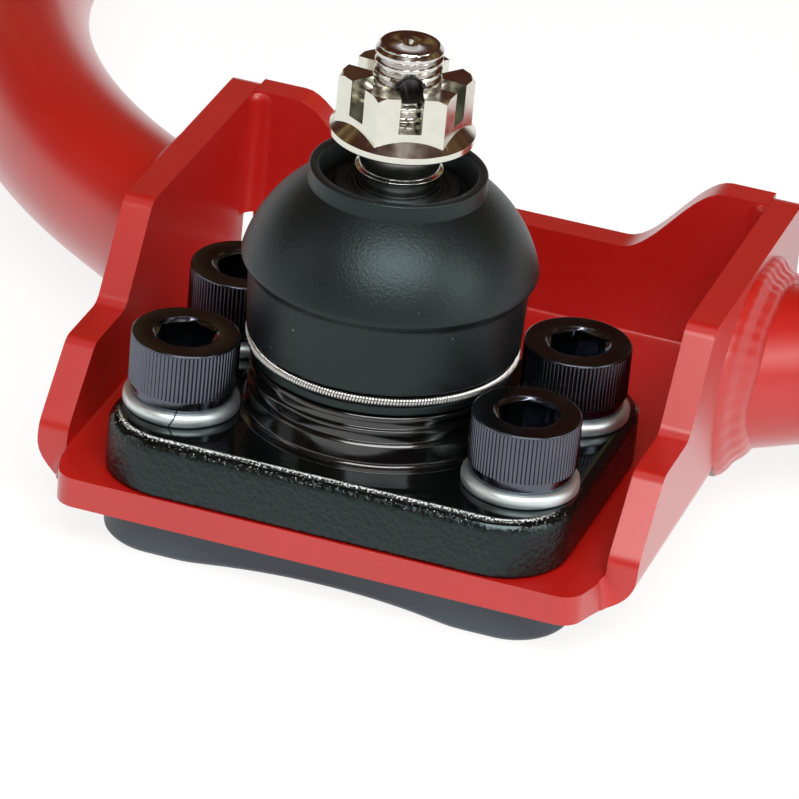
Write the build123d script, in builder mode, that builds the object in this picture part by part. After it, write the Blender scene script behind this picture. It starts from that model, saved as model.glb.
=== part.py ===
"""Tubular upper control arm with an adjustable ball joint, lying with its ball stud up.

Row frame: X runs along the inboard pivot axis, Y points from the ball joint to the pivot,
Z is up. The origin is the middle of the pivot axis. All lengths are in millimetres.
"""

import os
from math import cos, radians, sin, sqrt

from build123d import *

# ---- arm layout -------------------------------------------------------------------------
arm_length = 200.0  # ball stud axis to pivot axis
bush_spacing = 240.0  # middle of one bush to the middle of the other

# ---- inboard eyes and rubber bushes -----------------------------------------------------
eye_radius = 21.0
eye_wall = 3.5
eye_width = 40.0
bush_shell_wall = 1.5
bush_shell_width = 41.0
bush_rubber_width = 39.0
bush_hollow_depth = 3.0  # the rubber's hollow at each end
eye_chamfer = 0.8
sleeve_chamfer = 0.6
sleeve_radius = 9.0
sleeve_bore_radius = 6.1  # clears an M12 pivot bolt
sleeve_width = 48.0

# ---- legs -------------------------------------------------------------------------------
leg_radius = 12.0
leg_wall = 2.5
leg_root_y = 38.0  # where a leg's axis meets the tray wall, from the stud axis
leg_knee_x = 93.0  # corner of the leg's axis before it is rounded
leg_knee_y = 73.5  # the same, from the stud axis
leg_bend_radius = 118.0
weld_leg = 4.5  # size of the fillet welds
weld_toe = 0.8
eye_weld_leg = 3.0

# ---- tray: one plate, bent up at both sides and at the back ------------------------------
plate_thickness = 4.6
tray_width = 92.0
tray_front = 26.0  # stud axis to front edge
tray_back = 62.0  # stud axis to the back wall's outer face
bend_inner_radius = 0.6
front_corner_inset = 6.7  # the front edge ends this far inside the side walls
front_cut_inset = 4.1  # the corner's cut ends this far inside the side walls
front_cut_y = -17.6  # and this far from the stud axis
front_corner_radius = 3.5
front_cut_radius = 2.5
low_ledge_height = 12.6  # above the tray floor
wall_height = 26.5  # above the tray floor
ramp_foot = -16.8  # side wall profile, measured along Y from the stud axis
ramp_foot_height = 2.7  # above the tray floor
ramp_head = -7.5
step_foot = 4.6
step_head = 13.6
profile_rounding = 3.0
back_dip_height = 14.2  # above the tray floor
back_dip_half_width = 19.0
back_shoulder_x = 34.5
corner_seam_radius = 3.0  # the weld that joins the back wall to each side wall
corner_relief = 6.5  # height of the opening at the foot of that weld

# ---- ball joint housing -----------------------------------------------------------------
flange_length = 70.4  # along X
flange_depth = 51.8  # along Y
flange_thickness = 9.0
flange_corner_radius = 10.5
flange_edge_rounding = 2.0
flange_foot_rounding = 0.8
bolt_spacing_x = 52.0
bolt_spacing_y = 24.4
camber_travel = 20.0  # how far the ball joint slides inboard in its slots
neck_radius = 19.2  # pedestal under the boot
neck_waist_radius = 18.5
boot_seat_radius = 17.3
neck_root_fillet = 1.0
neck_ring_height = 3.4  # heights above the flange's top face
boot_shelf_height = 7.0
boot_seat_height = 8.3
housing_height = 13.0
boss_radius = 16.0
boss_depth = 4.4  # how far the boss reaches below the flange
mouth_half_angle = 56.0
mouth_flare = 1.5
cover_ledge = 1.0  # the end cover is this much wider than the cavity
crimp_lip = 1.4
crimp_height = 0.8

# ---- what the housing holds -------------------------------------------------------------
ball_radius = 11.5
ball_height = 4.0  # ball centre above the flange's top face
liner_thickness = 1.75
liner_mouth_half_angle = 50.0
liner_foot_half_angle = 42.0
running_clearance = 0.05
seat_rim_drop = 6.0  # lower seat's rim below the ball centre
seat_hole_radius = 5.0
spring_disc_thickness = 0.7
spring_disc_rise = 0.4
spring_disc_hole_radius = 6.0
cover_thickness = 1.7

# ---- ball stud --------------------------------------------------------------------------
thread_radius = 5.0  # M10
stud_neck_radius = 5.0
stud_relief_radius = 5.9
stud_neck_blend = 3.0
taper_foot_radius = 6.3
taper_head_radius = 6.0
stud_relief_height = 30.0  # heights above the flange's top face
taper_foot_height = 39.0
taper_head_height = 44.0
stud_height = 58.4
stud_end_chamfer = 0.9
stud_centre_radius = 1.2
cotter_radius = 1.65
cotter_height = 53.0
cotter_azimuth = 24.0  # degrees from -Y towards +X

# ---- castle nut -------------------------------------------------------------------------
nut_across_flats = 17.0
nut_flange_radius = 10.5
nut_flange_thickness = 1.2
nut_flange_cone = 1.7
nut_height = 9.4
nut_slot_width = 3.3
nut_slot_depth = 5.4
nut_azimuth = 24.0  # the direction that one flat faces, from -Y towards +X
nut_corner_chamfer = 0.6
nut_foot_bevel = 0.3

# ---- boot, its spring and its seal ring -------------------------------------------------
boot_wall = 2.2
boot_foot_radius = 19.3
boot_skirt_foot_radius = 20.0
boot_skirt_head_radius = 20.5
boot_belly_radius = 21.6
boot_shoulder_radius = 18.3
boot_collar_radius = 13.0
boot_skirt_height = 12.0  # heights above the flange's top face
boot_fold_height = 22.6
boot_belly_height = 24.2
boot_shoulder_height = 31.2
boot_collar_drop = 0.2  # the collar's rim under the taper's foot
boot_collar_band = 2.6
boot_cup_depth = 4.2
boot_cup_mouth_radius = 11.6
boot_cup_foot_radius = 10.0
boot_cup_web = 1.6
boot_spring_radius = 19.4
boot_spring_height = 11.1
boot_spring_wire = 0.8  # half the coil's outer diameter
soft_clearance = 0.3
seal_ring_radius = 9.2
seal_ring_thickness = 1.6

# ---- cap screws and spring washers ------------------------------------------------------
screw_head_radius = 8.0
screw_head_height = 9.4
screw_head_chamfer = 0.8
screw_socket_flats = 8.0
screw_socket_depth = 5.0
screw_base_height = 1.8
screw_base_inset = 0.4
screw_end_gap = 0.5  # the screws end this far above the clamp plate's underside
bolt_hole_clearance = 0.3
washer_radius = 8.6
washer_thickness = 2.0
washer_split = 1.3

# ---- clamp plate under the tray ---------------------------------------------------------
clamp_thickness = 7.5
clamp_lobe_radius = 9.8
clamp_corner_radius = 9.0
clamp_waist_depth = 38.3
clamp_waist_inset = 6.0  # the waist's arc ends this far inside the bolt centres
clamp_waist_blend = 14.0
clamp_edge_chamfer = 1.0

# ---- places worked out from the sizes above ---------------------------------------------
stud_y = -arm_length
clamp_bottom_z = -eye_radius  # the arm stands on its clamp plate and its two eyes
tray_bottom_z = clamp_bottom_z + clamp_thickness
tray_floor_z = tray_bottom_z + plate_thickness
flange_z = tray_floor_z + flange_thickness  # the flange's top face
wall_top_z = tray_floor_z + wall_height
wall_x = tray_width / 2
wall_inner_x = wall_x - plate_thickness
bend_outer_radius = bend_inner_radius + plate_thickness
cavity_radius = ball_radius + liner_thickness + 2 * running_clearance
liner_radius = ball_radius + liner_thickness + running_clearance
screw_grip = washer_thickness + flange_thickness + plate_thickness
screw_length = screw_grip + clamp_thickness - screw_end_gap
bolt_hole_radius = thread_radius + bolt_hole_clearance
boss_slot_radius = boss_radius + bolt_hole_clearance
boss_bottom = -flange_thickness - boss_depth  # these three above the flange's top face
cover_top = boss_bottom + crimp_height + cover_thickness
disc_top = cover_top + spring_disc_thickness + spring_disc_rise
eye_x = bush_spacing / 2
shell_radius = eye_radius - eye_wall
rubber_radius = shell_radius - bush_shell_wall
cover_radius = cavity_radius + cover_ledge
boot_collar_height = taper_foot_height - boot_collar_drop
boot_collar_foot_height = boot_collar_height - boot_collar_band
boot_cup_floor_height = boot_collar_height - boot_cup_depth
SIDES = {"left": -1, "right": 1}
CORNERS = {
    "front_left": (-1, -1),
    "front_right": (1, -1),
    "back_left": (-1, 1),
    "back_right": (1, 1),
}


def stud_profile_plane():
    """Plane for revolved profiles: X is the radius, Y the height above the flange's top."""
    return Plane(origin=(0, stud_y, flange_z), x_dir=(1, 0, 0), z_dir=(0, -1, 0))


def leg_path(side_sign):
    """Start, corner and end of a leg's axis; it starts inside the tray, to be cut flush."""
    root = Vector(wall_x, stud_y + leg_root_y)
    knee = Vector(leg_knee_x, stud_y + leg_knee_y)
    start = root - (knee - root).normalized() * 2 * leg_radius
    return [(side_sign * point.X, point.Y) for point in (start, knee, Vector(eye_x, 0))]


os.makedirs("parts", exist_ok=True)
stud_axis = Axis((0, stud_y, 0), (0, 0, 1))

# ---- tray: a channel across X, with a flap bent up at the back ---------------------------
tray_length = tray_front + tray_back
back_y = stud_y + tray_back
flap_inner_y = back_y - plate_thickness
flap_bend_y = back_y - bend_outer_radius
flap_bend_z = tray_bottom_z + bend_outer_radius

with BuildSketch(Plane.XZ.offset(-back_y)) as channel_outline:
    with Locations((0, tray_bottom_z)):
        Rectangle(tray_width, wall_height + plate_thickness, align=(Align.CENTER, Align.MIN))
    fillet(channel_outline.vertices().group_by(Axis.Y)[0], bend_outer_radius)

with BuildPart() as tray:
    with BuildSketch(Plane.XZ.offset(-back_y)):
        with Locations((0, tray_bottom_z)):
            Rectangle(tray_width, wall_height + plate_thickness, align=(Align.CENTER, Align.MIN))
        with BuildLine():
            FilletPolyline(
                (-wall_inner_x, wall_top_z),
                (-wall_inner_x, tray_floor_z),
                (wall_inner_x, tray_floor_z),
                (wall_inner_x, wall_top_z),
                radius=bend_inner_radius,
            )
            Line((wall_inner_x, wall_top_z), (-wall_inner_x, wall_top_z))
        make_face(mode=Mode.SUBTRACT)
    extrude(amount=tray_length)
    # the floor stops where the back bend starts, and the side walls are open at its ends
    with Locations((0, flap_bend_y, tray_bottom_z)):
        Box(
            tray_width,
            bend_outer_radius,
            plate_thickness + corner_relief,
            align=(Align.CENTER, Align.MIN, Align.MIN),
            mode=Mode.SUBTRACT,
        )
    with BuildSketch(Plane.YZ):
        with BuildLine():
            Polyline(
                (back_y, flap_bend_z),
                (back_y, wall_top_z),
                (flap_inner_y, wall_top_z),
                (flap_inner_y, flap_bend_z),
            )
            RadiusArc((flap_inner_y, flap_bend_z), (flap_bend_y, tray_floor_z), bend_inner_radius)
            Line((flap_bend_y, tray_floor_z), (flap_bend_y, tray_bottom_z))
            RadiusArc((flap_bend_y, tray_bottom_z), (back_y, flap_bend_z), -bend_outer_radius)
        make_face()
    extrude(amount=wall_inner_x, both=True)
    # the back wall is welded to each side wall along their inside corner
    with BuildSketch(Plane.XY.offset(tray_floor_z + corner_relief)):
        seam_x = wall_inner_x - corner_seam_radius
        seam_y = flap_inner_y - corner_seam_radius
        with BuildLine():
            Polyline((seam_x, flap_inner_y), (wall_inner_x, flap_inner_y), (wall_inner_x, seam_y))
            RadiusArc((wall_inner_x, seam_y), (seam_x, flap_inner_y), corner_seam_radius)
        make_face()
        mirror(about=Plane.YZ)
    extrude(amount=wall_height - corner_relief)
    # side view: a low ledge in front, a step up, and a high ledge to the back
    with BuildSketch(Plane.YZ) as side_view:
        with BuildLine():
            Polyline(
                (stud_y - tray_front, tray_bottom_z),
                (stud_y - tray_front, tray_floor_z),
                (stud_y + front_cut_y, tray_floor_z),
                (stud_y + ramp_foot, tray_floor_z + ramp_foot_height),
                (stud_y + ramp_head, tray_floor_z + low_ledge_height),
                (stud_y + step_foot, tray_floor_z + low_ledge_height),
                (stud_y + step_head, wall_top_z),
                (back_y, wall_top_z),
                (back_y, tray_bottom_z),
                close=True,
            )
        make_face()
        upper = side_view.vertices().filter_by(lambda v: v.Y > tray_floor_z + 0.1)
        fillet(upper.sort_by(Axis.X)[:-1], profile_rounding)
    extrude(amount=tray_width, both=True, mode=Mode.INTERSECT)
    # plan view: the front corners are cut back as far as the side walls' ramps
    with BuildSketch(Plane.XY.offset(tray_bottom_z)) as plan:
        with BuildLine():
            Polyline(
                (0, stud_y - tray_front),
                (wall_x - front_corner_inset, stud_y - tray_front),
                (wall_x - front_cut_inset, stud_y + front_cut_y),
                (wall_x, stud_y + front_cut_y),
                (wall_x, back_y),
                (0, back_y),
            )
            mirror(about=Plane.YZ)
        make_face()
        corners = plan.vertices().group_by(Axis.Y)
        fillet(corners[0].filter_by(lambda v: abs(v.X) > 1), front_corner_radius)
        fillet(
            corners[1].filter_by(lambda v: abs(v.X) < wall_x - front_cut_inset / 2),
            front_cut_radius,
        )
    extrude(amount=wall_height + plate_thickness, mode=Mode.INTERSECT)
    # lower side edges follow the bends
    extrude(channel_outline.sketch, amount=tray_length, mode=Mode.INTERSECT)
    # the back wall's top edge dips between two shoulders
    with BuildSketch(Plane.XZ.offset(-back_y)):
        dip_z = tray_floor_z + back_dip_height
        with BuildLine():
            Line((-back_dip_half_width, dip_z), (back_dip_half_width, dip_z))
            Spline(
                (back_dip_half_width, dip_z),
                (back_shoulder_x, wall_top_z),
                tangents=((1, 0), (1, 0)),
            )
            Line((back_shoulder_x, wall_top_z), (-back_shoulder_x, wall_top_z))
            Spline(
                (-back_shoulder_x, wall_top_z),
                (-back_dip_half_width, dip_z),
                tangents=((1, 0), (1, 0)),
            )
        make_face()
    extrude(amount=plate_thickness, mode=Mode.SUBTRACT)
    # slots: one for the housing's boss, and one along each pair of screws
    with BuildSketch(Plane.XY.offset(tray_bottom_z)):
        slot_y = stud_y + camber_travel / 2
        with Locations((0, slot_y)):
            SlotOverall(camber_travel + 2 * boss_slot_radius, 2 * boss_slot_radius, rotation=90)
        with Locations((-bolt_spacing_x / 2, slot_y), (bolt_spacing_x / 2, slot_y)):
            SlotOverall(
                bolt_spacing_y + camber_travel + 2 * bolt_hole_radius,
                2 * bolt_hole_radius,
                rotation=90,
            )
    extrude(amount=plate_thickness, mode=Mode.SUBTRACT)
tray.part.label = "tray"
export_step(tray.part, "parts/tray.step")

# ---- legs, their welds, and the eyes with their rubber bushes ----------------------------
for side, sign in SIDES.items():
    start, knee, end = leg_path(sign)
    eye_location = Location((sign * eye_x, 0, 0), (0, 90, 0))

    with BuildPart() as leg:
        with BuildLine():
            leg_line = FilletPolyline(start, knee, end, radius=leg_bend_radius)
        with BuildSketch(Plane(origin=leg_line @ 0, z_dir=leg_line % 0)):
            Circle(leg_radius)
            Circle(leg_radius - leg_wall, mode=Mode.SUBTRACT)
        sweep()
        extrude(channel_outline.sketch, amount=tray_length, mode=Mode.SUBTRACT)
        with Locations(eye_location):
            Cylinder(eye_radius, 2 * eye_width, mode=Mode.SUBTRACT)
    leg.part.label = f"{side}_leg"
    export_step(leg.part, f"parts/{side}_leg.step")

    # a fillet weld round the leg on the tray wall: an oblique ring
    first_run = Vector(*knee) - Vector(*start)
    lean = abs(first_run.Y / first_run.X)
    long_radius = leg_radius * sqrt(1 + lean**2)
    root_y = stud_y + leg_root_y
    with BuildPart() as leg_weld:
        with BuildSketch(Plane.YZ.offset(sign * (wall_x - weld_leg / 2))):
            with Locations((root_y - lean * weld_leg / 2, 0)):
                Ellipse(long_radius + weld_leg, leg_radius + weld_leg)
        with BuildSketch(Plane.YZ.offset(sign * (wall_x + weld_leg))):
            with Locations((root_y + lean * weld_leg, 0)):
                Ellipse(long_radius + weld_toe, leg_radius + weld_toe)
        loft()
        with BuildLine():
            weld_line = Line(start, knee)
        with BuildSketch(Plane(origin=weld_line @ 0, z_dir=weld_line % 0)):
            Circle(leg_radius)
        sweep(mode=Mode.SUBTRACT)
        extrude(channel_outline.sketch, amount=tray_length, mode=Mode.SUBTRACT)
    leg_weld.part.label = f"{side}_leg_weld"
    export_step(leg_weld.part, f"parts/{side}_leg_weld.step")

    # a fillet weld round the leg on the eye: a saddle-shaped ring
    with BuildPart() as eye_weld:
        with BuildSketch(Plane(origin=(*end, 0), z_dir=Vector(*knee) - Vector(*end))):
            Circle(leg_radius + eye_weld_leg)
            Circle(leg_radius, mode=Mode.SUBTRACT)
        extrude(amount=2 * eye_radius)
        with Locations(eye_location):
            Cylinder(eye_radius + eye_weld_leg, eye_width, mode=Mode.INTERSECT)
            Cylinder(eye_radius, 2 * eye_width, mode=Mode.SUBTRACT)
    eye_weld.part.label = f"{side}_eye_weld"
    export_step(eye_weld.part, f"parts/{side}_eye_weld.step")

    with BuildPart() as bush_eye:
        with BuildSketch(Plane.YZ.offset(sign * eye_x)):
            Circle(eye_radius)
            Circle(shell_radius, mode=Mode.SUBTRACT)
        extrude(amount=eye_width / 2, both=True)
        chamfer(bush_eye.edges().filter_by(GeomType.CIRCLE), eye_chamfer)
    bush_eye.part.label = f"{side}_bush_eye"
    export_step(bush_eye.part, f"parts/{side}_bush_eye.step")

    with BuildPart() as bush_shell:
        with BuildSketch(Plane.YZ.offset(sign * eye_x)):
            Circle(shell_radius)
            Circle(rubber_radius, mode=Mode.SUBTRACT)
        extrude(amount=bush_shell_width / 2, both=True)
    bush_shell.part.label = f"{side}_bush_shell"
    export_step(bush_shell.part, f"parts/{side}_bush_shell.step")

    # the rubber fills the space between shell and sleeve, with a hollow at each end
    rubber_inner = sleeve_radius + running_clearance
    rubber_middle = (rubber_radius + rubber_inner) / 2
    lip = bush_rubber_width / 2
    hollow = lip - bush_hollow_depth
    with BuildPart() as bush_rubber:
        with BuildSketch(Plane((sign * eye_x, 0, 0))):
            with BuildLine():
                Line((-lip, rubber_inner), (lip, rubber_inner))
                ThreePointArc((lip, rubber_inner), (hollow, rubber_middle), (lip, rubber_radius))
                Line((lip, rubber_radius), (-lip, rubber_radius))
                ThreePointArc((-lip, rubber_radius), (-hollow, rubber_middle), (-lip, rubber_inner))
            make_face()
        revolve(axis=Axis.X)
    bush_rubber.part.label = f"{side}_bush_rubber"
    export_step(bush_rubber.part, f"parts/{side}_bush_rubber.step")

    with BuildPart() as inner_sleeve:
        with BuildSketch(Plane.YZ.offset(sign * eye_x)):
            Circle(sleeve_radius)
            Circle(sleeve_bore_radius, mode=Mode.SUBTRACT)
        extrude(amount=sleeve_width / 2, both=True)
        chamfer(inner_sleeve.edges().filter_by(GeomType.CIRCLE), sleeve_chamfer)
    inner_sleeve.part.label = f"{side}_inner_sleeve"
    export_step(inner_sleeve.part, f"parts/{side}_inner_sleeve.step")

# ---- ball joint housing: bolted flange, round neck, ball cavity and crimped boss ---------
mouth_angle = radians(mouth_half_angle)
mouth_radius = cavity_radius * sin(mouth_angle)
mouth_height = ball_height + cavity_radius * cos(mouth_angle)
neck_foot_radius = neck_radius + neck_root_fillet

with BuildPart() as ball_joint_housing:
    with BuildSketch(Plane.XY.offset(flange_z - flange_thickness)):
        with Locations((0, stud_y)):
            RectangleRounded(flange_length, flange_depth, flange_corner_radius)
    extrude(amount=flange_thickness)
    fillet(ball_joint_housing.edges().group_by(Axis.Z)[-1], flange_edge_rounding)
    fillet(ball_joint_housing.edges().group_by(Axis.Z)[0], flange_foot_rounding)
    with BuildSketch(stud_profile_plane()):
        with BuildLine():
            Polyline(
                (0, boss_bottom),
                (boss_radius, boss_bottom),
                (boss_radius, -flange_thickness / 2),
                (neck_foot_radius, -flange_thickness / 2),
                (neck_foot_radius, 0),
            )
            RadiusArc((neck_foot_radius, 0), (neck_radius, neck_root_fillet), neck_root_fillet)
            Polyline(
                (neck_radius, neck_root_fillet),
                (neck_radius, neck_ring_height),
                (neck_waist_radius, neck_ring_height),
                (neck_waist_radius, boot_shelf_height),
                (neck_radius, boot_shelf_height),
                (neck_radius, boot_seat_height),
                (boot_seat_radius, boot_seat_height),
                (boot_seat_radius, housing_height),
                (0, housing_height),
                (0, boss_bottom),
            )
        make_face()
    revolve(axis=stud_axis)
    with BuildSketch(stud_profile_plane()):
        with BuildLine():
            Polyline(
                (0, housing_height),
                (mouth_radius + mouth_flare, housing_height),
                (mouth_radius, mouth_height),
            )
            RadiusArc((mouth_radius, mouth_height), (cavity_radius, ball_height), cavity_radius)
            Polyline(
                (cavity_radius, ball_height),
                (cavity_radius, cover_top),
                (cover_radius, cover_top),
                (cover_radius, boss_bottom + crimp_height),
                (cover_radius - crimp_lip, boss_bottom + crimp_height),
                (cover_radius - crimp_lip, boss_bottom),
                (0, boss_bottom),
                (0, housing_height),
            )
        make_face()
    revolve(axis=stud_axis, mode=Mode.SUBTRACT)
    with BuildSketch(Plane.XY.offset(flange_z - flange_thickness)):
        with Locations((0, stud_y)):
            with GridLocations(bolt_spacing_x, bolt_spacing_y, 2, 2):
                Circle(bolt_hole_radius)
    extrude(amount=flange_thickness, mode=Mode.SUBTRACT)
ball_joint_housing.part.label = "ball_joint_housing"
export_step(ball_joint_housing.part, "parts/ball_joint_housing.step")

# ---- what the housing holds under the ball -----------------------------------------------
seat_bottom = disc_top
seat_rim = ball_height - seat_rim_drop
seat_rim_radius = sqrt(cavity_radius**2 - seat_rim_drop**2)
seat_hole_height = ball_height - sqrt(cavity_radius**2 - seat_hole_radius**2)

with BuildPart() as lower_seat:
    with BuildSketch(stud_profile_plane()):
        with BuildLine():
            Polyline(
                (seat_hole_radius, seat_hole_height),
                (seat_hole_radius, seat_bottom),
                (cavity_radius, seat_bottom),
                (cavity_radius, seat_rim),
                (seat_rim_radius, seat_rim),
            )
            RadiusArc(
                (seat_rim_radius, seat_rim), (seat_hole_radius, seat_hole_height), cavity_radius
            )
        make_face()
    revolve(axis=stud_axis)
lower_seat.part.label = "lower_seat"
export_step(lower_seat.part, "parts/lower_seat.step")

with BuildPart() as preload_spring:
    with BuildSketch(stud_profile_plane()):
        with BuildLine():
            Polyline(
                (cavity_radius - soft_clearance, cover_top),
                (cavity_radius - soft_clearance, cover_top + spring_disc_thickness),
                (spring_disc_hole_radius, disc_top),
                (spring_disc_hole_radius, disc_top - spring_disc_thickness),
                close=True,
            )
        make_face()
    revolve(axis=stud_axis)
preload_spring.part.label = "preload_spring"
export_step(preload_spring.part, "parts/preload_spring.step")

with BuildPart() as end_cover:
    with BuildSketch(Plane.XY.offset(flange_z + boss_bottom + crimp_height)):
        with Locations((0, stud_y)):
            Circle(cover_radius)
    extrude(amount=cover_thickness)
end_cover.part.label = "end_cover"
export_step(end_cover.part, "parts/end_cover.step")

# ---- ball liner: a plastic shell that turns with the stud --------------------------------
liner_inner = ball_radius + running_clearance
top_angle = radians(liner_mouth_half_angle)
foot_angle = radians(180 - liner_foot_half_angle)
liner_corners = [
    (radius * sin(angle), ball_height + radius * cos(angle))
    for radius, angle in (
        (liner_radius, top_angle),
        (liner_radius, foot_angle),
        (liner_inner, foot_angle),
        (liner_inner, top_angle),
    )
]

with BuildPart() as ball_liner:
    with BuildSketch(stud_profile_plane()):
        with BuildLine():
            ThreePointArc(liner_corners[0], (liner_radius, ball_height), liner_corners[1])
            Line(liner_corners[1], liner_corners[2])
            ThreePointArc(liner_corners[2], (liner_inner, ball_height), liner_corners[3])
            Line(liner_corners[3], liner_corners[0])
        make_face()
    revolve(axis=stud_axis)
ball_liner.part.label = "ball_liner"
export_step(ball_liner.part, "parts/ball_liner.step")

# ---- ball stud: ball, neck, short taper, thread and cotter hole --------------------------
neck_meets_ball = ball_height + sqrt(ball_radius**2 - stud_neck_radius**2)
with BuildPart() as ball_stud:
    with BuildSketch(stud_profile_plane()):
        with BuildLine():
            Line((0, ball_height - ball_radius), (0, stud_height))
            Polyline(
                (0, stud_height),
                (thread_radius - stud_end_chamfer, stud_height),
                (thread_radius, stud_height - stud_end_chamfer),
                (thread_radius, taper_head_height),
                (taper_head_radius, taper_head_height),
                (taper_foot_radius, taper_foot_height),
                (stud_relief_radius, taper_foot_height),
                (stud_relief_radius, stud_relief_height),
                (stud_neck_radius, stud_relief_height - stud_neck_blend),
                (stud_neck_radius, neck_meets_ball),
            )
            ThreePointArc(
                (stud_neck_radius, neck_meets_ball),
                (ball_radius, ball_height),
                (0, ball_height - ball_radius),
            )
        make_face()
    revolve(axis=stud_axis)
    cotter_direction = (sin(radians(cotter_azimuth)), -cos(radians(cotter_azimuth)), 0)
    with Locations(Plane(origin=(0, stud_y, flange_z + cotter_height), z_dir=cotter_direction)):
        Cylinder(cotter_radius, 4 * thread_radius, mode=Mode.SUBTRACT)
    with Locations((0, stud_y, flange_z + stud_height)):
        Cone(
            0,
            stud_centre_radius,
            stud_centre_radius,
            align=(Align.CENTER, Align.CENTER, Align.MAX),
            mode=Mode.SUBTRACT,
        )
ball_stud.part.label = "ball_stud"
export_step(ball_stud.part, "parts/ball_stud.step")

# ---- castle nut: flange, hexagon, and six slots across the flats -------------------------
nut_foot_z = flange_z + taper_head_height
nut_corner_radius = nut_across_flats / sqrt(3)
with BuildPart() as castle_nut:
    with BuildSketch(Plane.XY.offset(nut_foot_z)):
        with Locations((0, stud_y)):
            RegularPolygon(nut_across_flats / 2, 6, major_radius=False, rotation=nut_azimuth)
    extrude(amount=nut_height)
    with BuildSketch(stud_profile_plane()):
        with BuildLine():
            Polyline(
                (0, taper_head_height),
                (nut_corner_radius + nut_corner_chamfer, taper_head_height),
                (
                    nut_corner_radius + nut_corner_chamfer,
                    taper_head_height + nut_height - 2 * nut_corner_chamfer,
                ),
                (
                    nut_corner_radius - nut_corner_chamfer,
                    taper_head_height + nut_height,
                ),
                (0, taper_head_height + nut_height),
                close=True,
            )
        make_face()
    revolve(axis=stud_axis, mode=Mode.INTERSECT)
    with BuildSketch(stud_profile_plane()):
        with BuildLine():
            Polyline(
                (0, taper_head_height),
                (nut_flange_radius - nut_foot_bevel, taper_head_height),
                (nut_flange_radius, taper_head_height + nut_foot_bevel),
                (nut_flange_radius, taper_head_height + nut_flange_thickness),
                (
                    nut_across_flats / 2,
                    taper_head_height + nut_flange_thickness + nut_flange_cone,
                ),
                (0, taper_head_height + nut_flange_thickness + nut_flange_cone),
                close=True,
            )
        make_face()
    revolve(axis=stud_axis)
    with BuildSketch(Plane.XY.offset(nut_foot_z)):
        with Locations((0, stud_y)):
            Circle(thread_radius)
    extrude(amount=nut_height, mode=Mode.SUBTRACT)
    with BuildSketch(Plane.XY.offset(nut_foot_z + nut_height)):
        with Locations((0, stud_y)):
            for turn in (0, 60, 120):
                Rectangle(
                    2 * nut_flange_radius, nut_slot_width, rotation=nut_azimuth + 90 + turn
                )
    extrude(amount=-nut_slot_depth, mode=Mode.SUBTRACT)
castle_nut.part.label = "castle_nut"
export_step(castle_nut.part, "parts/castle_nut.step")

# ---- rubber boot: one soft shell of revolution -------------------------------------------
boot_foot = boot_seat_height + soft_clearance
boot_foot_inner = boot_seat_radius + soft_clearance
groove_radius = boot_spring_radius - boot_spring_wire - soft_clearance
groove_foot = boot_spring_height - boot_spring_wire - soft_clearance
groove_head = boot_spring_height + boot_spring_wire + soft_clearance
boot_hole = stud_relief_radius + soft_clearance
cup_underside = boot_cup_floor_height - boot_cup_web
with BuildPart() as boot:
    with BuildSketch(stud_profile_plane()):
        with BuildLine():
            Polyline(
                (boot_foot_inner, boot_foot),
                (boot_foot_radius, boot_foot),
                (boot_foot_radius, groove_foot),
                (groove_radius, groove_foot),
                (groove_radius, groove_head),
                (boot_skirt_foot_radius, groove_head),
                (boot_skirt_head_radius, boot_fold_height),
                (boot_belly_radius, boot_belly_height),
            )
            ThreePointArc(
                (boot_belly_radius, boot_belly_height),
                (boot_shoulder_radius, boot_shoulder_height),
                (boot_collar_radius, boot_collar_foot_height),
            )
            Polyline(
                (boot_collar_radius, boot_collar_foot_height),
                (boot_collar_radius, boot_collar_height),
                (boot_cup_mouth_radius, boot_collar_height),
                (boot_cup_foot_radius, boot_cup_floor_height),
                (boot_hole, boot_cup_floor_height),
                (boot_hole, cup_underside),
                (boot_cup_foot_radius, cup_underside),
            )
            ThreePointArc(
                (boot_cup_foot_radius, cup_underside),
                (boot_shoulder_radius - boot_wall, boot_shoulder_height - boot_wall),
                (boot_belly_radius - boot_wall, boot_belly_height),
            )
            Polyline(
                (boot_belly_radius - boot_wall, boot_belly_height),
                (boot_skirt_head_radius - boot_wall, boot_fold_height),
                (boot_skirt_foot_radius - boot_wall, housing_height),
                (boot_foot_inner, groove_head),
                (boot_foot_inner, boot_foot),
            )
        make_face()
    revolve(axis=stud_axis)
boot.part.label = "boot"
export_step(boot.part, "parts/boot.step")

with BuildPart() as boot_spring_ring:
    with BuildSketch(stud_profile_plane()):
        with Locations((boot_spring_radius, boot_spring_height)):
            Circle(boot_spring_wire)
    revolve(axis=stud_axis)
boot_spring_ring.part.label = "boot_spring_ring"
export_step(boot_spring_ring.part, "parts/boot_spring_ring.step")

with BuildPart() as boot_seal_ring:
    with BuildSketch(Plane.XY.offset(flange_z + boot_cup_floor_height + soft_clearance)):
        with Locations((0, stud_y)):
            Circle(seal_ring_radius)
            Circle(stud_relief_radius + running_clearance, mode=Mode.SUBTRACT)
    extrude(amount=seal_ring_thickness)
boot_seal_ring.part.label = "boot_seal_ring"
export_step(boot_seal_ring.part, "parts/boot_seal_ring.step")

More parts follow.
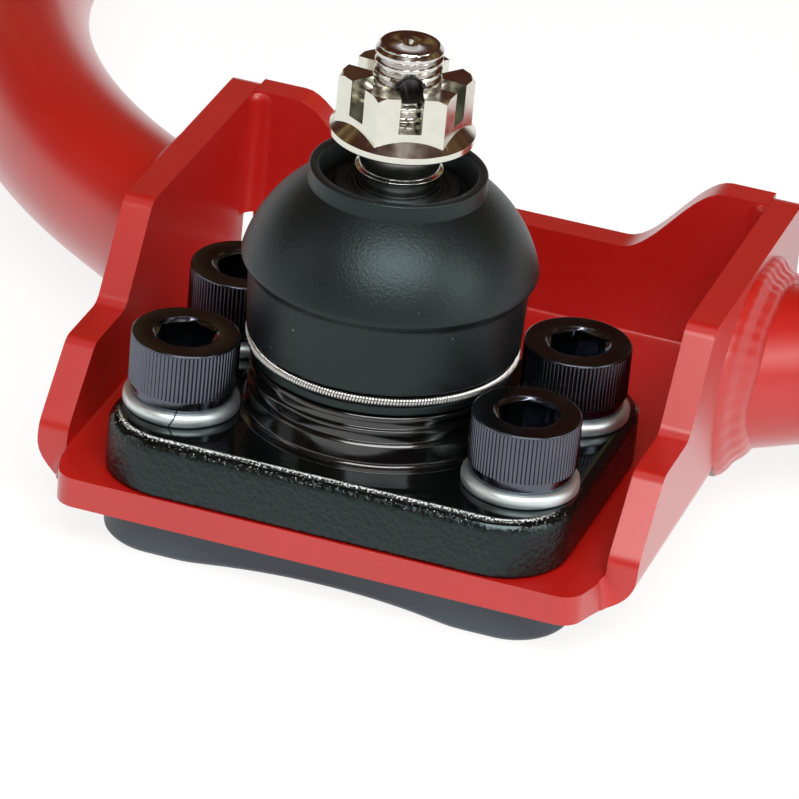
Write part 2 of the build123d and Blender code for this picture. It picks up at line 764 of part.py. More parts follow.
# ---- clamp plate under the tray: four lobes and a waist ----------------------------------
lobe_reach_x = bolt_spacing_x / 2 + clamp_lobe_radius
lobe_reach_y = bolt_spacing_y / 2 + clamp_lobe_radius
waist_end_x = bolt_spacing_x / 2 - clamp_waist_inset
waist_reach_y = clamp_waist_depth / 2
with BuildPart() as clamp_plate:
    with BuildSketch(Plane.XY.offset(clamp_bottom_z)) as clamp_outline:
        with Locations((0, stud_y)):
            RectangleRounded(2 * lobe_reach_x, 2 * lobe_reach_y, clamp_corner_radius)
        for edge in (-1, 1):
            with BuildLine():
                waist_arc = ThreePointArc(
                    (-waist_end_x, stud_y + edge * lobe_reach_y),
                    (0, stud_y + edge * waist_reach_y),
                    (waist_end_x, stud_y + edge * lobe_reach_y),
                )
                Line(waist_arc @ 1, waist_arc @ 0)
            make_face(mode=Mode.SUBTRACT)
        waist_corners = clamp_outline.vertices().filter_by(lambda v: abs(v.X) < waist_end_x + 0.1)
        fillet(waist_corners, clamp_waist_blend)
    extrude(amount=clamp_thickness)
    chamfer(clamp_plate.edges().group_by(Axis.Z)[0], clamp_edge_chamfer)
    with BuildSketch(Plane.XY.offset(clamp_bottom_z)):
        with Locations((0, stud_y)):
            with GridLocations(bolt_spacing_x, bolt_spacing_y, 2, 2):
                Circle(thread_radius)
    extrude(amount=clamp_thickness, mode=Mode.SUBTRACT)
clamp_plate.part.label = "clamp_plate"
export_step(clamp_plate.part, "parts/clamp_plate.step")

# ---- cap screws and their split spring washers -------------------------------------------
washer_top_z = flange_z + washer_thickness
for corner, (x_sign, y_sign) in CORNERS.items():
    screw_x = x_sign * bolt_spacing_x / 2
    screw_y = stud_y + y_sign * bolt_spacing_y / 2

    with BuildPart() as spring_washer:
        with BuildSketch(Plane.XY.offset(flange_z)):
            with Locations((screw_x, screw_y)):
                Circle(washer_radius)
                Circle(thread_radius + bolt_hole_clearance, mode=Mode.SUBTRACT)
            with Locations((screw_x + washer_radius, screw_y)):
                Rectangle(2 * thread_radius, washer_split, mode=Mode.SUBTRACT)
        extrude(amount=washer_thickness)
    spring_washer.part.label = f"{corner}_spring_washer"
    export_step(spring_washer.part, f"parts/{corner}_spring_washer.step")

    with BuildPart() as cap_screw:
        with BuildSketch(Plane.XY.offset(washer_top_z)):
            with Locations((screw_x, screw_y)):
                Circle(screw_head_radius)
        extrude(amount=screw_head_height)
        chamfer(cap_screw.edges().group_by(Axis.Z)[-1], screw_head_chamfer)
        with BuildSketch(Plane.XY.offset(washer_top_z)):
            with Locations((screw_x, screw_y)):
                Circle(screw_head_radius)
                Circle(screw_head_radius - screw_base_inset, mode=Mode.SUBTRACT)
        extrude(amount=screw_base_height, mode=Mode.SUBTRACT)
        with BuildSketch(Plane.XY.offset(washer_top_z + screw_head_height)):
            with Locations((screw_x, screw_y)):
                RegularPolygon(screw_socket_flats / 2, 6, major_radius=False)
        extrude(amount=-screw_socket_depth, mode=Mode.SUBTRACT)
        with BuildSketch(Plane.XY.offset(washer_top_z)):
            with Locations((screw_x, screw_y)):
                Circle(thread_radius)
        extrude(amount=-screw_length)
    cap_screw.part.label = f"{corner}_cap_screw"
    export_step(cap_screw.part, f"parts/{corner}_cap_screw.step")
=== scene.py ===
"""Looks of a tubular upper control arm: powder-coated arm, bolted ball joint, rubber boot and nut."""

import logging
import math
from collections.abc import Callable, Sequence
from dataclasses import dataclass
from enum import Enum

import bmesh
import bpy
from bpy.types import Node, NodeSocket, NodeTree, Object
from mathutils import Matrix, Vector


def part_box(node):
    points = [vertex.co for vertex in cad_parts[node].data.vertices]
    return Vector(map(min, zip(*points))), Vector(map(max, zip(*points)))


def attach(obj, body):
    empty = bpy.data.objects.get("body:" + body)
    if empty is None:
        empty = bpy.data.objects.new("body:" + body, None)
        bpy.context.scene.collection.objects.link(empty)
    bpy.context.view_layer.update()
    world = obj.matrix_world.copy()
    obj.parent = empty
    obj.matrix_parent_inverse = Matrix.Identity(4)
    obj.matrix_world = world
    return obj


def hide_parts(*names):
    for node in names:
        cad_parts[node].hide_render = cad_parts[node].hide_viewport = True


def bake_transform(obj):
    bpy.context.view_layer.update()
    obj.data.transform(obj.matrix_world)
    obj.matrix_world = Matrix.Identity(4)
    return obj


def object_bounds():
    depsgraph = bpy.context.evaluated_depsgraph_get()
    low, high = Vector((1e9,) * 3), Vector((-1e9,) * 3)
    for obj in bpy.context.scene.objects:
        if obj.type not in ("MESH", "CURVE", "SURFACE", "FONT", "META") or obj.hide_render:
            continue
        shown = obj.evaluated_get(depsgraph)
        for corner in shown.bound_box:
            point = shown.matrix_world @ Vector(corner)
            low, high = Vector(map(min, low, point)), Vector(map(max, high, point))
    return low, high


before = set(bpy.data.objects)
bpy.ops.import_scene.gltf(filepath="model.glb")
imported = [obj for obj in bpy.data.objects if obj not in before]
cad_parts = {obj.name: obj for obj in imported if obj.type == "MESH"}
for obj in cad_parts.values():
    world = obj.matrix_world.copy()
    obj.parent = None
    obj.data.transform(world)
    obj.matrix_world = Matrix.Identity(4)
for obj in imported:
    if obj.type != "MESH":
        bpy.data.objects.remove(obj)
cad_low, cad_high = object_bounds()

logging.basicConfig(level=logging.INFO, format="%(message)s")
log = logging.getLogger("control_arm")

MM = 0.001  # the sizes below are in millimetres; the scene is in metres
UP = Vector((0, 0, 1))
Point = tuple[float, float, float]
Ring = list[Point]
Profile = Sequence[tuple[float, ...]]  # (radius, height), and for some a rounding
Skin = tuple[Ring, list[tuple[int, ...]]]  # points and faces


# ---- small helpers -----------------------------------------------------------------------
def linear(hex_colour: str) -> tuple[float, float, float, float]:
    """Turns an sRGB hex colour into Blender's linear RGBA.

    Args:
        hex_colour: six hex digits.

    Returns:
        Red, green, blue and alpha, linear.
    """
    channels = [int(hex_colour[i : i + 2], 16) / 255 for i in (0, 2, 4)]
    made = [c / 12.92 if c <= 0.04045 else ((c + 0.055) / 1.055) ** 2.4 for c in channels]
    return (*made, 1.0)


def per_metre(feature_mm: float) -> float:
    """Texture scale, on coordinates in metres, whose features are about this size."""
    return 1.0 / (feature_mm * MM)


def add_node(tree: NodeTree, kind: str, inputs: dict | None = None, **settings) -> Node:
    """Adds a node with its settings, input values and links.

    Args:
        tree: the node tree that gets the node.
        kind: the node's type name.
        inputs: socket name or index, and its value, the output socket that it is linked to, or a node
            whose first output in use it is linked to.
        **settings: attributes set on the node first.

    Returns:
        The new node.
    """
    node = tree.nodes.new(kind)
    for key, value in settings.items():
        setattr(node, key, value)
    for key, value in (inputs or {}).items():
        if isinstance(value, Node):
            value = next(output for output in value.outputs if output.enabled)
        if isinstance(value, NodeSocket):
            tree.links.new(value, node.inputs[key])
        else:
            node.inputs[key].default_value = value
    return node


def linked(name: str, data: bpy.types.ID) -> Object:
    """Makes an object of a mesh, lamp or camera, and puts it in the scene.

    Args:
        name: the object's name.
        data: the mesh, lamp or camera.

    Returns:
        The object.
    """
    made = bpy.data.objects.new(name, data)
    bpy.context.scene.collection.objects.link(made)
    return made


def mesh_piece(
    name: str, points: Sequence[Point], faces: Sequence[Sequence[int]], crease: float = 35
) -> Object:
    """Makes a mesh object, smooth but for its sharp edges, with doubles welded and faces outwards.

    Args:
        name: the piece's name.
        points: vertices in the row frame, in millimetres.
        faces: vertex numbers of each face.
        crease: edges that turn by more than this many degrees stay sharp.

    Returns:
        The object, at the origin.
    """
    mesh = bpy.data.meshes.new(name)
    mesh.from_pydata([Vector(p) * MM for p in points], [], faces)
    work = bmesh.new()
    work.from_mesh(mesh)
    bmesh.ops.remove_doubles(work, verts=work.verts, dist=1e-7)
    bmesh.ops.dissolve_degenerate(work, edges=work.edges, dist=1e-7)
    bmesh.ops.recalc_face_normals(work, faces=work.faces)
    work.to_mesh(mesh)
    work.free()
    mesh.shade_smooth()
    mesh.set_sharp_from_angle(angle=math.radians(crease))
    return linked(name, mesh)


def dress(piece: Object, finish: "Finish", body: str = "", stands_for: Sequence[str] = ()) -> None:
    """Gives a piece its material, its body and the CAD nodes it stands for.

    Args:
        piece: the object.
        finish: the finish it gets.
        body: the CAD body that it rides on; empty for a CAD node, or for a piece that rides on no body.
        stands_for: the CAD nodes that it replaces.
    """
    piece.data.materials.clear()
    piece.data.materials.append(finish.material())
    if body:
        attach(piece, body)
    if stands_for:
        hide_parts(*stands_for)
    log.info("%s: %s, %d faces", piece.name, finish.name, len(piece.data.polygons))


def baked(piece: Object) -> Object:
    """Turns a piece's modifiers into plain mesh and removes them.

    Args:
        piece: the piece.

    Returns:
        The same piece.
    """
    evaluated = piece.evaluated_get(bpy.context.evaluated_depsgraph_get())
    mesh = bpy.data.meshes.new_from_object(evaluated)
    piece.modifiers.clear()
    piece.data = mesh
    return piece


def skin_rings(rings: Sequence[Ring], closed: bool = False) -> Skin:
    """Joins rings of the same number of points into quads.

    Args:
        rings: rings in order; a ring of one point closes the surface there.
        closed: whether the last ring joins the first.

    Returns:
        The points, and the faces.
    """
    points: Ring = []
    starts: list[int] = []
    for ring in rings:
        starts.append(len(points))
        points.extend(ring)
    faces: list[tuple[int, ...]] = []
    pairs = list(zip(range(len(rings)), range(1, len(rings))))
    if closed:
        pairs.append((len(rings) - 1, 0))
    for a, b in pairs:
        count = max(len(rings[a]), len(rings[b]))
        for i in range(count):
            j = (i + 1) % count
            near = (starts[a],) if len(rings[a]) == 1 else (starts[a] + i, starts[a] + j)
            far = (starts[b],) if len(rings[b]) == 1 else (starts[b] + j, starts[b] + i)
            faces.append(near + far)
    return points, faces


def capped(rings: Sequence[Ring]) -> Skin:
    """Joins rings into a skin and closes both its ends with a face.

    Args:
        rings: rings in order, all with the same number of points.

    Returns:
        The points, and the faces.
    """
    points, faces = skin_rings(rings)
    count = len(rings[0])
    first, last = tuple(range(count)), tuple(range(len(points) - 1, len(points) - 1 - count, -1))
    return points, [*faces, first, last]


def rounded(corners: Profile, steps: int = 5) -> list[tuple[float, float]]:
    """Rounds a profile's corners.

    Args:
        corners: (radius, height) or (radius, height, rounding) for each corner.
        steps: segments in each rounded corner.

    Returns:
        The profile's points.
    """
    made: list[tuple[float, float]] = []
    for i, corner in enumerate(corners):
        here = Vector(corner[:2])
        rounding = corner[2] if len(corner) > 2 else 0.0
        if not rounding or i in (0, len(corners) - 1):
            made.append(tuple(here))
            continue
        before = Vector(corners[i - 1][:2]) - here
        after = Vector(corners[i + 1][:2]) - here
        half_turn = before.angle(after) / 2
        reach = min(rounding / math.tan(half_turn), before.length * 0.49, after.length * 0.49)
        radius = reach * math.tan(half_turn)
        start = here + before.normalized() * reach
        end = here + after.normalized() * reach
        halfway = (before.normalized() + after.normalized()).normalized()
        centre = here + halfway * (radius / math.sin(half_turn))
        first, last = start - centre, end - centre
        sweep = first.angle_signed(last)
        for step in range(steps + 1):
            turned = Matrix.Rotation(-sweep * step / steps, 2) @ first
            made.append(tuple(centre + turned))
    return made


def arc_points(
    start: tuple[float, float], via: tuple[float, float], end: tuple[float, float], steps: int
) -> list[tuple[float, float]]:
    """Points along the arc through three points of a profile.

    Args:
        start: the arc's first point.
        via: a point that it passes.
        end: its last point.
        steps: segments in it.

    Returns:
        The points, both ends included.
    """
    (ax, ay), (bx, by), (cx, cy) = start, via, end
    d = 2 * (ax * (by - cy) + bx * (cy - ay) + cx * (ay - by))
    a2, b2, c2 = ax * ax + ay * ay, bx * bx + by * by, cx * cx + cy * cy
    ux = (a2 * (by - cy) + b2 * (cy - ay) + c2 * (ay - by)) / d
    uy = (a2 * (cx - bx) + b2 * (ax - cx) + c2 * (bx - ax)) / d
    first, passing, last = (math.atan2(y - uy, x - ux) for x, y in (start, via, end))
    turn = (last - first) % math.tau
    if (passing - first) % math.tau > turn:
        turn -= math.tau
    radius = math.hypot(ax - ux, ay - uy)
    angles = [first + turn * i / steps for i in range(steps + 1)]
    return [(ux + radius * math.cos(a), uy + radius * math.sin(a)) for a in angles]


# ---- where things are, read from the frame -------------------------------------------------
def low(node: str) -> Vector:
    """Lowest corner of a CAD node, in millimetres."""
    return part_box(node)[0] / MM


def high(node: str) -> Vector:
    """Highest corner of a CAD node, in millimetres."""
    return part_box(node)[1] / MM


def middle(node: str) -> Vector:
    """Middle of a CAD node's box, in millimetres."""
    return (low(node) + high(node)) / 2


FLANGE_TOP = low("front_left_spring_washer").z  # the spring washers lie on the flange
STUD = Vector((middle("castle_nut").x, middle("castle_nut").y, FLANGE_TOP))  # foot of the stud's axis
CORNERS = ("front_left", "front_right", "back_left", "back_right")


# ---- finishes ------------------------------------------------------------------------------
@dataclass(frozen=True)
class Finish:
    """A real material and how its surface was made; pieces that share it share one material."""

    name: str
    slot: str

    def material(self) -> bpy.types.Material:
        """Makes the material the first time, and gives the same one afterwards.

        Returns:
            The material.
        """
        made = bpy.data.materials.get(self.name)
        if made:
            return made
        made = bpy.data.materials.new(self.name)
        made.use_nodes = True
        tree = made.node_tree
        tree.nodes.clear()
        coords = add_node(tree, "ShaderNodeTexCoord").outputs["Object"]
        shader = add_node(tree, "ShaderNodeBsdfPrincipled", self.paint(tree, coords))
        add_node(tree, "ShaderNodeOutputMaterial", {"Surface": shader})
        return made

    def paint(self, tree: NodeTree, coords: NodeSocket) -> dict[str, object]:
        """Adds the nodes of the finish's patterns.

        Args:
            tree: the material's node tree.
            coords: the piece's own coordinates, in metres.

        Returns:
            The Principled shader's inputs, by name.
        """
        raise NotImplementedError


@dataclass(frozen=True)
class PowderCoat(Finish):
    """Red polyester powder coat, baked on steel: an even red skin with a soft gloss and faint orange peel."""

    deep: str = "AE0F08"
    bright: str = "C0160D"
    drift_mm: float = 22.0
    peel_mm: float = 1.5
    peel_depth_mm: float = 0.05

    def paint(self, tree: NodeTree, coords: NodeSocket) -> dict[str, object]:
        """Slow drift between two reds, orange peel, and a satin clear skin.

        Args:
            tree: the material's node tree.
            coords: the piece's own coordinates, in metres.

        Returns:
            The Principled shader's inputs, by name.
        """
        drift = add_node(
            tree, "ShaderNodeTexNoise", {"Vector": coords, "Scale": per_metre(self.drift_mm), "Detail": 2.0}
        )
        red = add_node(
            tree,
            "ShaderNodeMix",
            {0: drift, 6: linear(self.deep), 7: linear(self.bright)},
            data_type="RGBA",
        )
        peel = add_node(
            tree,
            "ShaderNodeTexNoise",
            {"Vector": coords, "Scale": per_metre(self.peel_mm), "Detail": 2.0, "Roughness": 0.45},
        )
        return {
            "Base Color": red,
            "Roughness": add_node(
                tree, "ShaderNodeMapRange", {"Value": drift, "To Min": 0.34, "To Max": 0.42}
            ),
            "Normal": add_node(
                tree,
                "ShaderNodeBump",
                {"Height": peel, "Strength": 0.35, "Distance": self.peel_depth_mm * MM},
            ),
            "IOR": 1.5,
            "Specular IOR Level": 0.4,
            "Coat Weight": 1.0,
            "Coat IOR": 1.55,
            "Coat Roughness": 0.3,
        }


@dataclass(frozen=True)
class ForgedCoat(Finish):
    """Black electrophoretic coat on a forging: smooth on the machined top, dimpled by scale elsewhere."""

    colour: str = "090B0B"
    # reflections tinted cyan in the material: painted colour of a cyan lamp
    tint: str = "DCFBFF"
    dimple_mm: float = 0.4
    hammer_mm: float = 0.9
    depth_mm: float = 0.16
    # near-white specks: uncoated steel where the coat has chipped, and painted glints
    chip_and_glint_colour: str = "EEF2F0"
    chip_and_glint_mm: float = 0.35
    top_mm: float = 0.0  # height of the flat top, in the row frame
    line_mm: float = 0.3  # the chipped coat and painted glints are thickest within this much of the top
    chip_and_glint_band_mm: float = 1.3  # and ends this far below it

    def paint(self, tree: NodeTree, coords: NodeSocket) -> dict[str, object]:
        """Two sizes of dimple, and near-white specks along the flange's upper front edge: uncoated steel
        where the coat has chipped, and painted glints.

        Args:
            tree: the material's node tree.
            coords: the piece's own coordinates, in metres.

        Returns:
            The Principled shader's inputs, by name.
        """
        place = add_node(tree, "ShaderNodeSeparateXYZ", {"Vector": coords})
        below = add_node(
            tree, "ShaderNodeMath", {0: self.top_mm * MM, 1: place.outputs["Z"]}, operation="SUBTRACT"
        )
        off_top = add_node(
            tree, "ShaderNodeMapRange", {"Value": below, "From Min": 0.015 * MM, "From Max": 0.05 * MM}
        )
        dimples = add_node(
            tree,
            "ShaderNodeTexNoise",
            {"Vector": coords, "Scale": per_metre(self.dimple_mm), "Detail": 3.0, "Roughness": 0.6},
        )
        hammer = add_node(
            tree, "ShaderNodeTexVoronoi", {"Vector": coords, "Scale": per_metre(self.hammer_mm)}
        )
        height = add_node(tree, "ShaderNodeMath", {0: dimples, 1: hammer}, operation="ADD")
        band = self.chip_and_glint_band_mm * MM
        rough = add_node(
            tree, "ShaderNodeMapRange", {"Value": below, "From Min": 0.4 * band, "From Max": 1.3 * band}
        )
        scale = add_node(tree, "ShaderNodeMath", {0: dimples, 1: rough}, operation="MULTIPLY")
        # specks of chipped coat and painted glints: most at the very edge, fewer in the band below it, none
        # on the top or away from the front
        wear_and_glint = add_node(
            tree,
            "ShaderNodeMapRange",
            {"Value": below, "From Max": self.line_mm * MM, "To Min": 0.38, "To Max": 0.17},
        )
        in_band = add_node(
            tree,
            "ShaderNodeMapRange",
            {"Value": below, "From Min": 0.7 * band, "From Max": band, "To Min": off_top, "To Max": 0.0},
        )
        facing = add_node(tree, "ShaderNodeNewGeometry").outputs["Normal"]
        facing = add_node(tree, "ShaderNodeSeparateXYZ", {"Vector": facing}).outputs["Y"]
        front = add_node(
            tree,
            "ShaderNodeMapRange",
            {"Value": facing, "From Min": -0.06, "From Max": -0.2, "To Max": in_band},
        )
        chips_and_glints = add_node(
            tree,
            "ShaderNodeTexNoise",
            {"Vector": coords, "Scale": per_metre(self.chip_and_glint_mm), "Detail": 4.0, "Roughness": 0.75},
        )
        worn_and_glint = add_node(tree, "ShaderNodeMath", {0: chips_and_glints, 1: wear_and_glint}, operation="ADD")
        bare_and_glint = add_node(
            tree, "ShaderNodeMapRange", {"Value": worn_and_glint, "From Min": 0.8, "From Max": 0.84, "To Max": front}
        )
        return {
            "Base Color": add_node(
                tree,
                "ShaderNodeMix",
                {0: bare_and_glint, 6: linear(self.colour), 7: linear(self.chip_and_glint_colour)},
                data_type="RGBA",
            ),
            "Roughness": add_node(
                tree, "ShaderNodeMapRange", {"Value": scale, "To Min": 0.08, "To Max": 0.5}
            ),
            "Normal": add_node(
                tree,
                "ShaderNodeBump",
                {"Height": height, "Strength": rough, "Distance": self.depth_mm * MM},
            ),
            "IOR": 1.5,
            "Specular Tint": linear(self.tint),
        }


@dataclass(frozen=True)
class DippedSteel(Finish):
    """Steel with a thin skin, such as black oxide, phosphate or oil, that gives it its own colour."""

    colour: str
    patch_colour: str
    metallic: float = 0.0
    specular: float = 0.5
    shine: float = 0.22
    dullness: float = 0.36
    cloud_mm: float = 4.0
    grain_mm: float = 0.5
    grain_depth_mm: float = 0.02

    def paint(self, tree: NodeTree, coords: NodeSocket) -> dict[str, object]:
        """Cloudy patches in the skin, a fine grain in the steel, and oil that evens the gloss.

        Args:
            tree: the material's node tree.
            coords: the piece's own coordinates, in metres.

        Returns:
            The Principled shader's inputs, by name.
        """
        cloud = add_node(
            tree, "ShaderNodeTexNoise", {"Vector": coords, "Scale": per_metre(self.cloud_mm), "Detail": 3.0}
        )
        colour = add_node(
            tree,
            "ShaderNodeMix",
            {0: cloud, 6: linear(self.colour), 7: linear(self.patch_colour)},
            data_type="RGBA",
        )
        gloss = add_node(
            tree,
            "ShaderNodeMapRange",
            {
                "Value": cloud,
                "From Min": 0.3,
                "From Max": 0.7,
                "To Min": self.shine,
                "To Max": self.dullness,
            },
        )
        grain = add_node(
            tree, "ShaderNodeTexNoise", {"Vector": coords, "Scale": per_metre(self.grain_mm), "Detail": 3.0}
        )
        bump = add_node(
            tree, "ShaderNodeBump", {"Height": grain, "Strength": 0.5, "Distance": self.grain_depth_mm * MM}
        )
        skin = {"Base Color": colour, "Roughness": gloss, "Normal": bump, "Metallic": self.metallic}
        if not self.metallic:
            skin["Specular IOR Level"] = self.specular
        return skin


@dataclass(frozen=True)
class Rubber(Finish):
    """Carbon-filled black rubber from a mould: a matt skin with a soft sheen and a little dust on it."""

    colour: str = "08090A"
    bloom: str = "0F1213"
    # reflections tinted cyan in the material: painted colour of a cyan lamp
    tint: str = "DCFBFF"
    roughness: float = 0.4
    bloom_mm: float = 9.0
    grain_mm: float = 0.45
    grain_depth_mm: float = 0.09
    dust_mm: float = 5.0  # about one speck in each cell this wide
    dust_colour: str = "8C9696"

    def paint(self, tree: NodeTree, coords: NodeSocket) -> dict[str, object]:
        """Greyish bloom in clouds, the mould's fine grain, and sparse specks of dust.

        Args:
            tree: the material's node tree.
            coords: the piece's own coordinates, in metres.

        Returns:
            The Principled shader's inputs, by name.
        """
        cloud = add_node(
            tree, "ShaderNodeTexNoise", {"Vector": coords, "Scale": per_metre(self.bloom_mm), "Detail": 4.0}
        )
        skin = add_node(
            tree,
            "ShaderNodeMix",
            {0: cloud, 6: linear(self.colour), 7: linear(self.bloom)},
            data_type="RGBA",
        )
        cells = add_node(
            tree,
            "ShaderNodeTexVoronoi",
            {"Vector": coords, "Scale": per_metre(self.dust_mm), "Randomness": 1.0},
        )
        speck = add_node(
            tree,
            "ShaderNodeMapRange",
            {"Value": cells, "From Min": 0.03, "From Max": 0.05, "To Min": 0.8, "To Max": 0.0},
        )
        grain = add_node(
            tree,
            "ShaderNodeTexNoise",
            {"Vector": coords, "Scale": per_metre(self.grain_mm), "Detail": 3.0, "Roughness": 0.6},
        )
        return {
            "Base Color": add_node(
                tree, "ShaderNodeMix", {0: speck, 6: skin, 7: linear(self.dust_colour)}, data_type="RGBA"
            ),
            "Roughness": self.roughness,
            "Normal": add_node(
                tree,
                "ShaderNodeBump",
                {"Height": grain, "Strength": 0.7, "Distance": self.grain_depth_mm * MM},
            ),
            "Specular IOR Level": 0.48,
            "Specular Tint": linear(self.tint),
        }


@dataclass(frozen=True)
class BrightMetal(Finish):
    """Bare or plated metal: reflections do the work, broken by turning marks and small stains."""

    colour: str
    stain: str
    shine: float = 0.12
    dullness: float = 0.28
    stain_mm: float = 2.5
    mark_mm: float = 0.3  # spacing of the turning marks along Z
    mark_depth_mm: float = 0.006

    def paint(self, tree: NodeTree, coords: NodeSocket) -> dict[str, object]:
        """Rings left by turning, cloudy stains, and gloss that follows them.

        Args:
            tree: the material's node tree.
            coords: the piece's own coordinates, in metres.

        Returns:
            The Principled shader's inputs, by name.
        """
        stains = add_node(
            tree,
            "ShaderNodeTexNoise",
            {"Vector": coords, "Scale": per_metre(self.stain_mm), "Detail": 4.0, "Roughness": 0.6},
        )
        colour = add_node(
            tree,
            "ShaderNodeMix",
            {0: stains, 6: linear(self.colour), 7: linear(self.stain)},
            data_type="RGBA",
        )
        gloss = add_node(
            tree,
            "ShaderNodeMapRange",
            {
                "Value": stains,
                "From Min": 0.3,
                "From Max": 0.7,
                "To Min": self.shine,
                "To Max": self.dullness,
            },
        )
        marks = add_node(
            tree,
            "ShaderNodeTexWave",
            {
                "Vector": coords,
                "Scale": per_metre(self.mark_mm) / math.tau,
                "Distortion": 0.6,
                "Detail": 2.0,
            },
            bands_direction="Z",
        )
        bump = add_node(
            tree,
            "ShaderNodeBump",
            {"Height": marks.outputs[1], "Strength": 0.6, "Distance": self.mark_depth_mm * MM},
        )
        return {"Base Color": colour, "Roughness": gloss, "Normal": bump, "Metallic": 1.0}


@dataclass(frozen=True)
class Plastic(Finish):
    """Natural acetal, machined from rod: milky white, waxy, with faint cloudiness."""

    colour: str = "E2DFD3"
    cloud: str = "D6D2C4"
    cloud_mm: float = 5.0

    def paint(self, tree: NodeTree, coords: NodeSocket) -> dict[str, object]:
        """Slight cloudiness and a waxy gloss.

        Args:
            tree: the material's node tree.
            coords: the piece's own coordinates, in metres.

        Returns:
            The Principled shader's inputs, by name.
        """
        cloud = add_node(
            tree, "ShaderNodeTexNoise", {"Vector": coords, "Scale": per_metre(self.cloud_mm), "Detail": 3.0}
        )
        colour = add_node(
            tree,
            "ShaderNodeMix",
            {0: cloud, 6: linear(self.colour), 7: linear(self.cloud)},
            data_type="RGBA",
        )
        return {"Base Color": colour, "Roughness": 0.38, "IOR": 1.48}


# Smooth, even and a little soft in its gloss, as powder melts into one skin in the oven.
RED_POWDER_COAT = PowderCoat("satin_red_powder_coat", "red_powder_coat")
# Black and wet-looking; light catches on each dimple of the forging, and the chipped front edge carries
# near-white specks, partly uncoated steel and partly painted glints.
BLACK_E_COAT = ForgedCoat("black_e_coat_on_forging", "black_e_coat", top_mm=FLANGE_TOP)
# The same coat on a turned pressing, without the forging's scale.
SMOOTH_E_COAT = DippedSteel(
    "black_e_coat_on_turned_steel",
    "black_e_coat",
    colour="070708",
    patch_colour="0B0C0C",
    specular=0.9,
    shine=0.08,
    dullness=0.2,
    grain_depth_mm=0.006,
)
# Oiled black oxide: a dark mirror that is black until it faces something bright, then blue-grey.
BLACK_OXIDE = DippedSteel(
    "oiled_black_oxide",
    "black_oxide",
    colour="585C66",
    patch_colour="666A75",
    metallic=1.0,
    shine=0.14,
    dullness=0.22,
)
# Manganese phosphate: crystals scatter the light, so it is a satin slate grey.
SLATE_PHOSPHATE = DippedSteel(
    "crystalline_slate_phosphate",
    "slate_phosphate",
    colour="3A464E",
    patch_colour="46535C",
    shine=0.4,
    dullness=0.52,
    grain_mm=0.4,
    grain_depth_mm=0.03,
)
# Spring steel as hardened in oil: dull grey with a dark temper skin.
HARDENED_STEEL = DippedSteel(
    "hardened_spring_steel",
    "hardened_steel",
    colour="6E7074",
    patch_colour="55575A",
    metallic=1.0,
    shine=0.3,
    dullness=0.45,
)
CHLOROPRENE = Rubber("moulded_chloroprene", "chloroprene_rubber")
# Softer and blacker than the boot, from a less polished mould.
NATURAL_RUBBER = Rubber(
    "bonded_natural_rubber", "natural_rubber", colour="101112", bloom="191B1B", roughness=0.62, dust_mm=7.0
)
# Clear-passivated zinc: bright, faintly blue-white, a little cloudy.
ZINC_PLATE = BrightMetal(
    "clear_zinc_plate", "zinc_plated_steel", colour="EAF4F4", stain="DCE8E8", shine=0.4, dullness=0.52
)
# Drawn wire: polished along its length by the die.
STAINLESS_WIRE = BrightMetal(
    "drawn_stainless_wire", "stainless_wire", colour="DADAD8", stain="C8C8C4", mark_depth_mm=0.0
)
# Bright nickel: warmer than chrome, close to a mirror where the die was smooth.
NICKEL_PLATE = BrightMetal(
    "bright_nickel_plate",
    "nickel_plate",
    colour="E4E4D9",
    stain="D4D3C7",
    shine=0.12,
    dullness=0.22,
    mark_depth_mm=0.0,
)
# Turned and ground steel, lightly oiled.
GROUND_STEEL = BrightMetal(
    "ground_alloy_steel",
    "ground_steel",
    colour="DCDCD8",
    stain="C4C0BA",
    shine=0.12,
    dullness=0.2,
    mark_depth_mm=0.0008,
)
# Painted shade: the wall and mouths of the drilled cotter hole, near-black to stand for the shade inside the
# hole.
SHADED_BORE = DippedSteel(
    "painted_shade_bore", "ground_steel", colour="14100F", patch_colour="1E1917", shine=0.3, dullness=0.5
)
ACETAL = Plastic("natural_acetal", "acetal")


# ---- shaping tools -------------------------------------------------------------------------
def eased(name: str, source: Object, width: float) -> Object:
    """Copies a mesh and rounds its sharp edges, as a real edge is never quite sharp.

    Args:
        name: the new piece's name.
        source: the object that is copied.
        width: reach of the rounding, in millimetres.

    Returns:
        The new piece.
    """
    flat = 1.0  # faces that turn by less than this many degrees are first made one
    mesh = source.data.copy()
    work = bmesh.new()
    work.from_mesh(mesh)
    bmesh.ops.remove_doubles(work, verts=work.verts, dist=1e-6)
    bmesh.ops.dissolve_limit(work, angle_limit=math.radians(flat), verts=work.verts, edges=work.edges)
    bmesh.ops.recalc_face_normals(work, faces=work.faces)
    work.to_mesh(mesh)
    work.free()
    return round_edges(linked(name, mesh), width)


def round_edges(piece: Object, width: float, crease: float = 30) -> Object:
    """Rounds a piece's edges and lets its flat faces keep their own light.

    Args:
        piece: the piece.
        width: reach of the rounding, in millimetres.
        crease: edges that turn by more than this many degrees are rounded.

    Returns:
        The same piece, its mesh made plain.
    """
    piece.data.shade_smooth()
    bevel = piece.modifiers.new("edges", "BEVEL")
    bevel.limit_method = "ANGLE"
    bevel.angle_limit = math.radians(crease)
    bevel.width = width * MM
    bevel.segments = 3
    weights = piece.modifiers.new("light", "WEIGHTED_NORMAL")
    weights.weight = 80
    return baked(piece)


